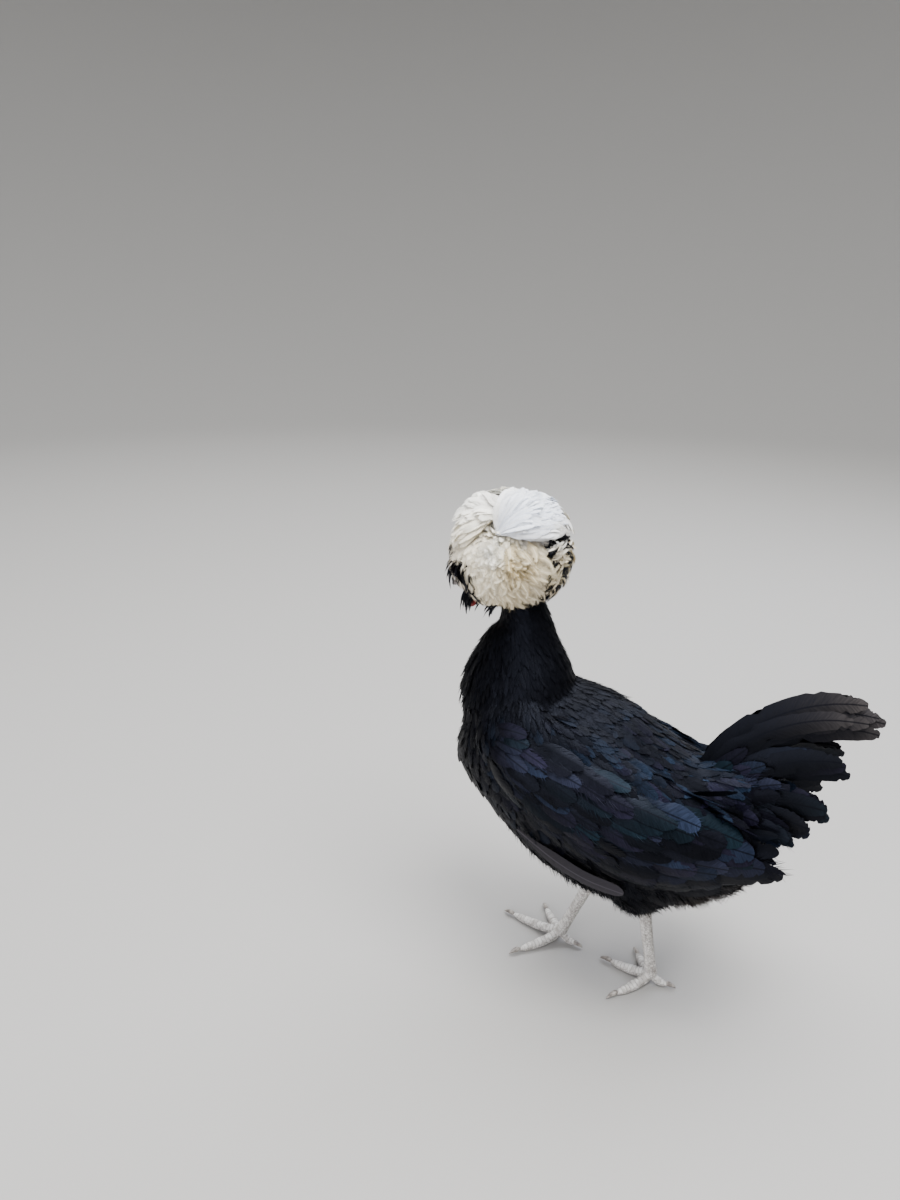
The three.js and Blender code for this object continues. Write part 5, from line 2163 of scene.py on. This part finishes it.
@dataclass
class Face:
    """The head's bare parts: face, lids, eyes, bill, comb, wattles and earlobes."""

    lid_tube: float = 1.1
    lid_sides: int = 12
    lid_steps: int = 36
    pupil_angle: float = math.radians(27)
    small_feathers: int = 1500
    bare_eye: float = 7.6

    def head_ball(
        self, bm: BMesh, at: Sequence[float], size: Point, sides: int, folds: float = 0.0
    ) -> None:
        """Adds an oval.

        Args:
            bm: the mesh under work.
            at: the oval's middle, in the head's frame.
            size: its half sizes.
            sides: segments about its upright axis.
            folds: depth of its upright wrinkles, which also makes it hang fuller below.
        """

        def shape(t: Array, angle: Array) -> Array:
            """The oval's surface, at places down from its top and angles about it."""
            ring = np.sin(t * math.pi)
            down = np.cos(t * math.pi)
            waves = np.sin(angle * 5 + down * 3) * 0.45 + np.sin(angle * 11 - down * 5) * 0.3
            wide = ring * (1 + folds * waves * ring) * (1 - folds * 0.9 * down)
            ball = np.stack([wide * np.cos(angle), wide * np.sin(angle), down], -1)
            return head_to_body(np.array(at) + ball * np.array(size))

        moulded_ball(bm, sides, sides * 2 // 3, shape)

    def dress_skull(self) -> None:
        """The face's skin with its lids, inside the small feathers."""
        bm = bmesh.new()
        moulded_ball(bm, 56, 40, lambda t, a: head_to_body(loft_points(SKULL_ROWS, t, a, -0.3)))
        for side in (1, -1):
            normal = unit(on_side(SIGHT, side))
            centre = on_side(EYE_AT, side) + normal * 1.5
            turn = Vector((0, 0, 1)).rotation_difference(Vector(normal)).to_matrix()
            before = set(bm.verts)
            made = bmesh.ops.create_circle(bm, segments=self.lid_sides, radius=self.lid_tube * MM)["verts"]
            bmesh.ops.rotate(bm, verts=made, matrix=Matrix.Rotation(math.pi / 2, 3, "X"))
            bmesh.ops.translate(bm, verts=made, vec=(EYE_RADIUS * 0.93 * MM, 0, 0))
            geom = list(made) + list({edge for vert in made for edge in vert.link_edges})
            ring = {"axis": (0, 0, 1), "cent": (0, 0, 0), "angle": 2 * math.pi}
            bmesh.ops.spin(bm, geom=geom, steps=self.lid_steps, use_merge=True, **ring)
            for vert in set(bm.verts) - before:
                local = np.array(turn @ Vector(vert.co)) / MM
                vert.co = to_frame(head_to_body(centre + local))
        head = keep_object("face", finish_mesh(bm, "face"), [FACE_SKIN.material()])
        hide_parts("head")

    def dress_eyes(self) -> None:
        """Each eye: a bay iris round a black pupil under a clear gloss."""
        iris, pupil = IRIS.material(), PUPIL.material()
        for side in Side:
            bm = bmesh.new()
            at = on_side(EYE_AT, side.value)
            look = unit(on_side(SIGHT, side.value))
            across = unit(np.cross(look, [0, 0, 1.0]))
            axes = np.stack([across, np.cross(look, across), look])

            def ball(t: Array, angle: Array, at: Array = at, axes: Array = axes) -> Array:
                """The eyeball, its rings about the line of sight."""
                ring = np.sin(t * math.pi)
                parts = np.stack([ring * np.cos(angle), ring * np.sin(angle), np.cos(t * math.pi)], -1)
                return head_to_body(at + parts @ axes * EYE_RADIUS)

            moulded_ball(bm, 48, 40, ball)
            middle = Vector(to_frame(head_to_body(at)))
            sight = Vector(directions_to_body(look))
            for face in bm.faces:
                lean = (face.calc_center_median() - middle).normalized().dot(sight)
                face.material_index = 1 if lean > math.cos(self.pupil_angle) else 0
            name = side.name.lower()
            piece = keep_object(f"eyeball_{name}", finish_mesh(bm, "eye"), [iris, pupil])
            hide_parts(f"eye_{name}")

    def dress_bill(self) -> None:
        """The two halves of the bill, with the line of the mouth between them."""
        finish = BILL_HORN.material()
        for name, rows in (("bill_upper", BILL_UPPER_ROWS), ("bill_lower", BILL_LOWER_ROWS)):
            bm = bmesh.new()
            moulded_ball(bm, 36, 32, lambda t, a, rows=rows: head_to_body(loft_points(rows, t, a, 0)))
            piece = keep_object(name + "_horn", finish_mesh(bm, name), [finish])
            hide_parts(name)
        bm = bmesh.new()
        for side in (1, -1):
            self.head_ball(bm, (side * 4.5, -22, -0.2), (0.7, 1.9, 0.6), 12)
        piece = keep_object("nostrils", finish_mesh(bm, "nostrils"), [PUPIL.material()])

    def dress_folds(self) -> None:
        """Comb horns, wattles and earlobes."""
        bm = bmesh.new()
        for side in (1, -1):
            horn = [(side * 1.2, -15, 6), (side * 3.2, -18.5, 10), (side * 5.6, -20.5, 16.6)]
            moulded_ball(bm, 20, 20, limb_points(head_to_body(horn), [2.2, 2.2, 0.7]))
        piece = keep_object("comb_horns", finish_mesh(bm, "comb"), [COMB_SKIN.material()])
        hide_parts("comb")
        for side in Side:
            name = side.name.lower()
            bm = bmesh.new()
            self.head_ball(bm, (side.value * 4.2, -18.5, -13.5), (2.2, 4.2, 6), 60, 0.2)
            piece = keep_object(f"wattle_fold_{name}", finish_mesh(bm, "wattle"), [COMB_SKIN.material()])
            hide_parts(f"wattle_{name}")
            bm = bmesh.new()
            self.head_ball(bm, on_side(LOBE_AT, side.value), (2.4, 4.4, 5.6), 60, 0.14)
            piece = keep_object(f"lobe_{name}", finish_mesh(bm, "lobe"), [EARLOBE_SKIN.material()])
            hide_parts(f"earlobe_{name}")

    def dress_small_feathers(self) -> None:
        """Tiny black feathers over the skull, open round the eyes, the ears and the bill."""
        rng = np.random.default_rng(311)
        shape = FeatherShape(0.4, 0.4, 0.45, 0.7, 0.2, 4, 1, 5, 0.3, 0.03, 0.6, 0)
        groups = [Plumes(shape.template(90 + v)) for v in range(3)]
        black = tint("#070708")
        spots = ((EYE_AT, self.bare_eye), (LOBE_AT, 5.4), ((5.0, -19.0, -6.0), 7.0))
        bare = [(on_side(at, side), radius) for at, radius in spots for side in (1, -1)]
        for _ in range(self.small_feathers):
            t = np.array([math.acos(rng.uniform(-1, 1)) / math.pi])
            angle = np.array([rng.uniform(-math.pi, math.pi)])
            root = loft_points(SKULL_ROWS, t, angle, -0.3)[0]
            aside = loft_points(SKULL_ROWS, t, angle + 0.05, -0.3)[0] - root
            along = loft_points(SKULL_ROWS, t + 0.01, angle, -0.3)[0] - root
            normal = unit(np.cross(along, aside))
            if normal.dot(root - np.array([0, -4, 0])) < 0:
                normal = -normal
            if any(np.linalg.norm(root - at) < radius for at, radius in bare):
                continue
            flow = np.array([0, 0.8, -0.55])
            heading = unit(flow - normal * flow.dot(normal) + rng.normal(0, 0.12, 3))
            length = rng.uniform(4.5, 7.5)
            share = np.linspace(0, 1, 5)[:, None]
            line = root + heading * length * share + normal * (0.3 + 0.9 * share - 1.1 * share**2)
            outs = np.tile(directions_to_body(normal[None]), (5, 1))
            colour = np.stack([black, black * rng.uniform(1, 2.2)])
            group = groups[rng.integers(3)]
            group.add(head_to_body(line), outs, rng.uniform(2.2, 3.4), colour, rng.normal(0, 0.2))
        for piece in plume_piece("face_plumage", groups, BLACK_PLUMAGE.material()):
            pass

    def dress(self) -> None:
        """Keeps every part of the face."""
        self.dress_skull()
        self.dress_small_feathers()
        self.dress_eyes()
        self.dress_bill()
        self.dress_folds()


@dataclass
class Studio:
    """A pale floor, soft light, and a camera at the picture's own angle.

    The floor's sizes are in metres: its flat part, its bend's radius and how far it runs in all.
    """

    flat: float = 2.6
    bend: float = 1.6
    run: float = 6.4
    focal_px: float = 905.6
    picture_px: float = 1200.0
    pitch: float = math.radians(19.87)
    roll: float = math.radians(1.246)
    heading: float = math.radians(15)
    camera_mm: Point = (578.2, 25.6, 498.4)

    def build_floor(self) -> None:
        """A wide matt floor that sweeps up far away on every side, and isn't part of the bird."""
        bm = bmesh.new()
        bmesh.ops.create_uvsphere(bm, u_segments=128, v_segments=96, radius=1.0)
        beyond = []
        for vert in bm.verts:
            around = math.atan2(vert.co.y, vert.co.x)
            run = math.acos(max(-1.0, min(1.0, -vert.co.z))) / math.pi * 9.0
            # Beyond the flat the sweep climbs as a quarter circle and then stands straight
            climb = max(0.0, run - self.flat)
            angle = min(climb / self.bend, math.pi / 2)
            far = min(run, self.flat) + self.bend * math.sin(angle)
            rise = self.bend * (1 - math.cos(angle)) + max(0.0, climb - self.bend * math.pi / 2)
            vert.co = (math.cos(around) * far, math.sin(around) * far, rise)
            if run > self.run:
                beyond.append(vert)
        bmesh.ops.delete(bm, geom=beyond, context="VERTS")
        bmesh.ops.reverse_faces(bm, faces=bm.faces)
        mesh = bpy.data.meshes.new("floor")
        bm.to_mesh(mesh)
        bm.free()
        mesh.shade_smooth()
        floor = link("floor", mesh)
        # Matt pale grey paper, hardly glossy
        paper = Nodes("pale_floor")
        looks = {"Base Color": linear("#A8A6A3"), "Roughness": 0.85, "Specular IOR Level": 0.2}
        paper.feed(paper.shader, looks)
        mesh.materials.append(paper.material)

    def build_lights(self) -> None:
        """A large key from above, a fill from the camera's side and a pale world."""
        lights = (
            ("key", (0.45, 0.35, 1.7), 1.0, 44.0, "#FFFFFF"),
            ("fill", (1.5, -0.5, 0.75), 1.2, 20.0, "#F8F8FF"),
            ("rim", (-1.0, 0.5, 1.2), 0.9, 12.0, "#E8EEFF"),
            ("sweep", (-0.6, -0.4, 3.0), 3.0, 150.0, "#FFFFFF"),
        )
        for name, at, size, power, colour in lights:
            data = bpy.data.lights.new(name, "AREA")
            data.shape = "DISK"
            data.size = size
            data.energy = power
            data.color = linear(colour)[:3]
            lamp = link(name, data)
            lamp.location = at
            aim = Vector((0, 0, 0.2)) - Vector(at)
            lamp.rotation_euler = aim.to_track_quat("-Z", "Y").to_euler()
        world = bpy.data.worlds.new("pale_world")
        world.use_nodes = True
        sky = world.node_tree.nodes["Background"]
        sky.inputs[0].default_value = linear("#DDE3EA")
        sky.inputs[1].default_value = 0.5
        bpy.context.scene.world = world

    def build_camera(self) -> None:
        """The camera at the picture's own height, pitch, roll and heading."""
        data = bpy.data.cameras.new("camera")
        data.sensor_width = 36.0
        data.lens = self.focal_px * data.sensor_width / self.picture_px
        data.clip_start = 0.01
        camera = link("camera", data)
        tip = Matrix.Rotation(math.pi / 2 - self.pitch, 4, "X") @ Matrix.Rotation(self.roll, 4, "Z")
        turn = Matrix.Rotation(math.pi / 2 + self.heading, 4, "Z")
        camera.matrix_world = Matrix.Translation(to_frame(self.camera_mm)) @ turn @ tip
        bpy.context.scene.camera = camera

    def dress(self) -> None:
        """Makes the floor, lights and camera."""
        self.build_floor()
        self.build_lights()
        self.build_camera()


def main() -> None:
    """Builds the bird piece by piece."""
    Studio().dress()
    skin = Skin()
    skin.build()
    Plumage(skin, LieField()).dress()
    skin.dress()
    Crest().dress()
    for side in Side:
        Wing(side).dress()
    Tail().dress()
    for leg in LEGS:
        leg.dress()
    Face().dress()


if __name__ == "__main__":
    main()
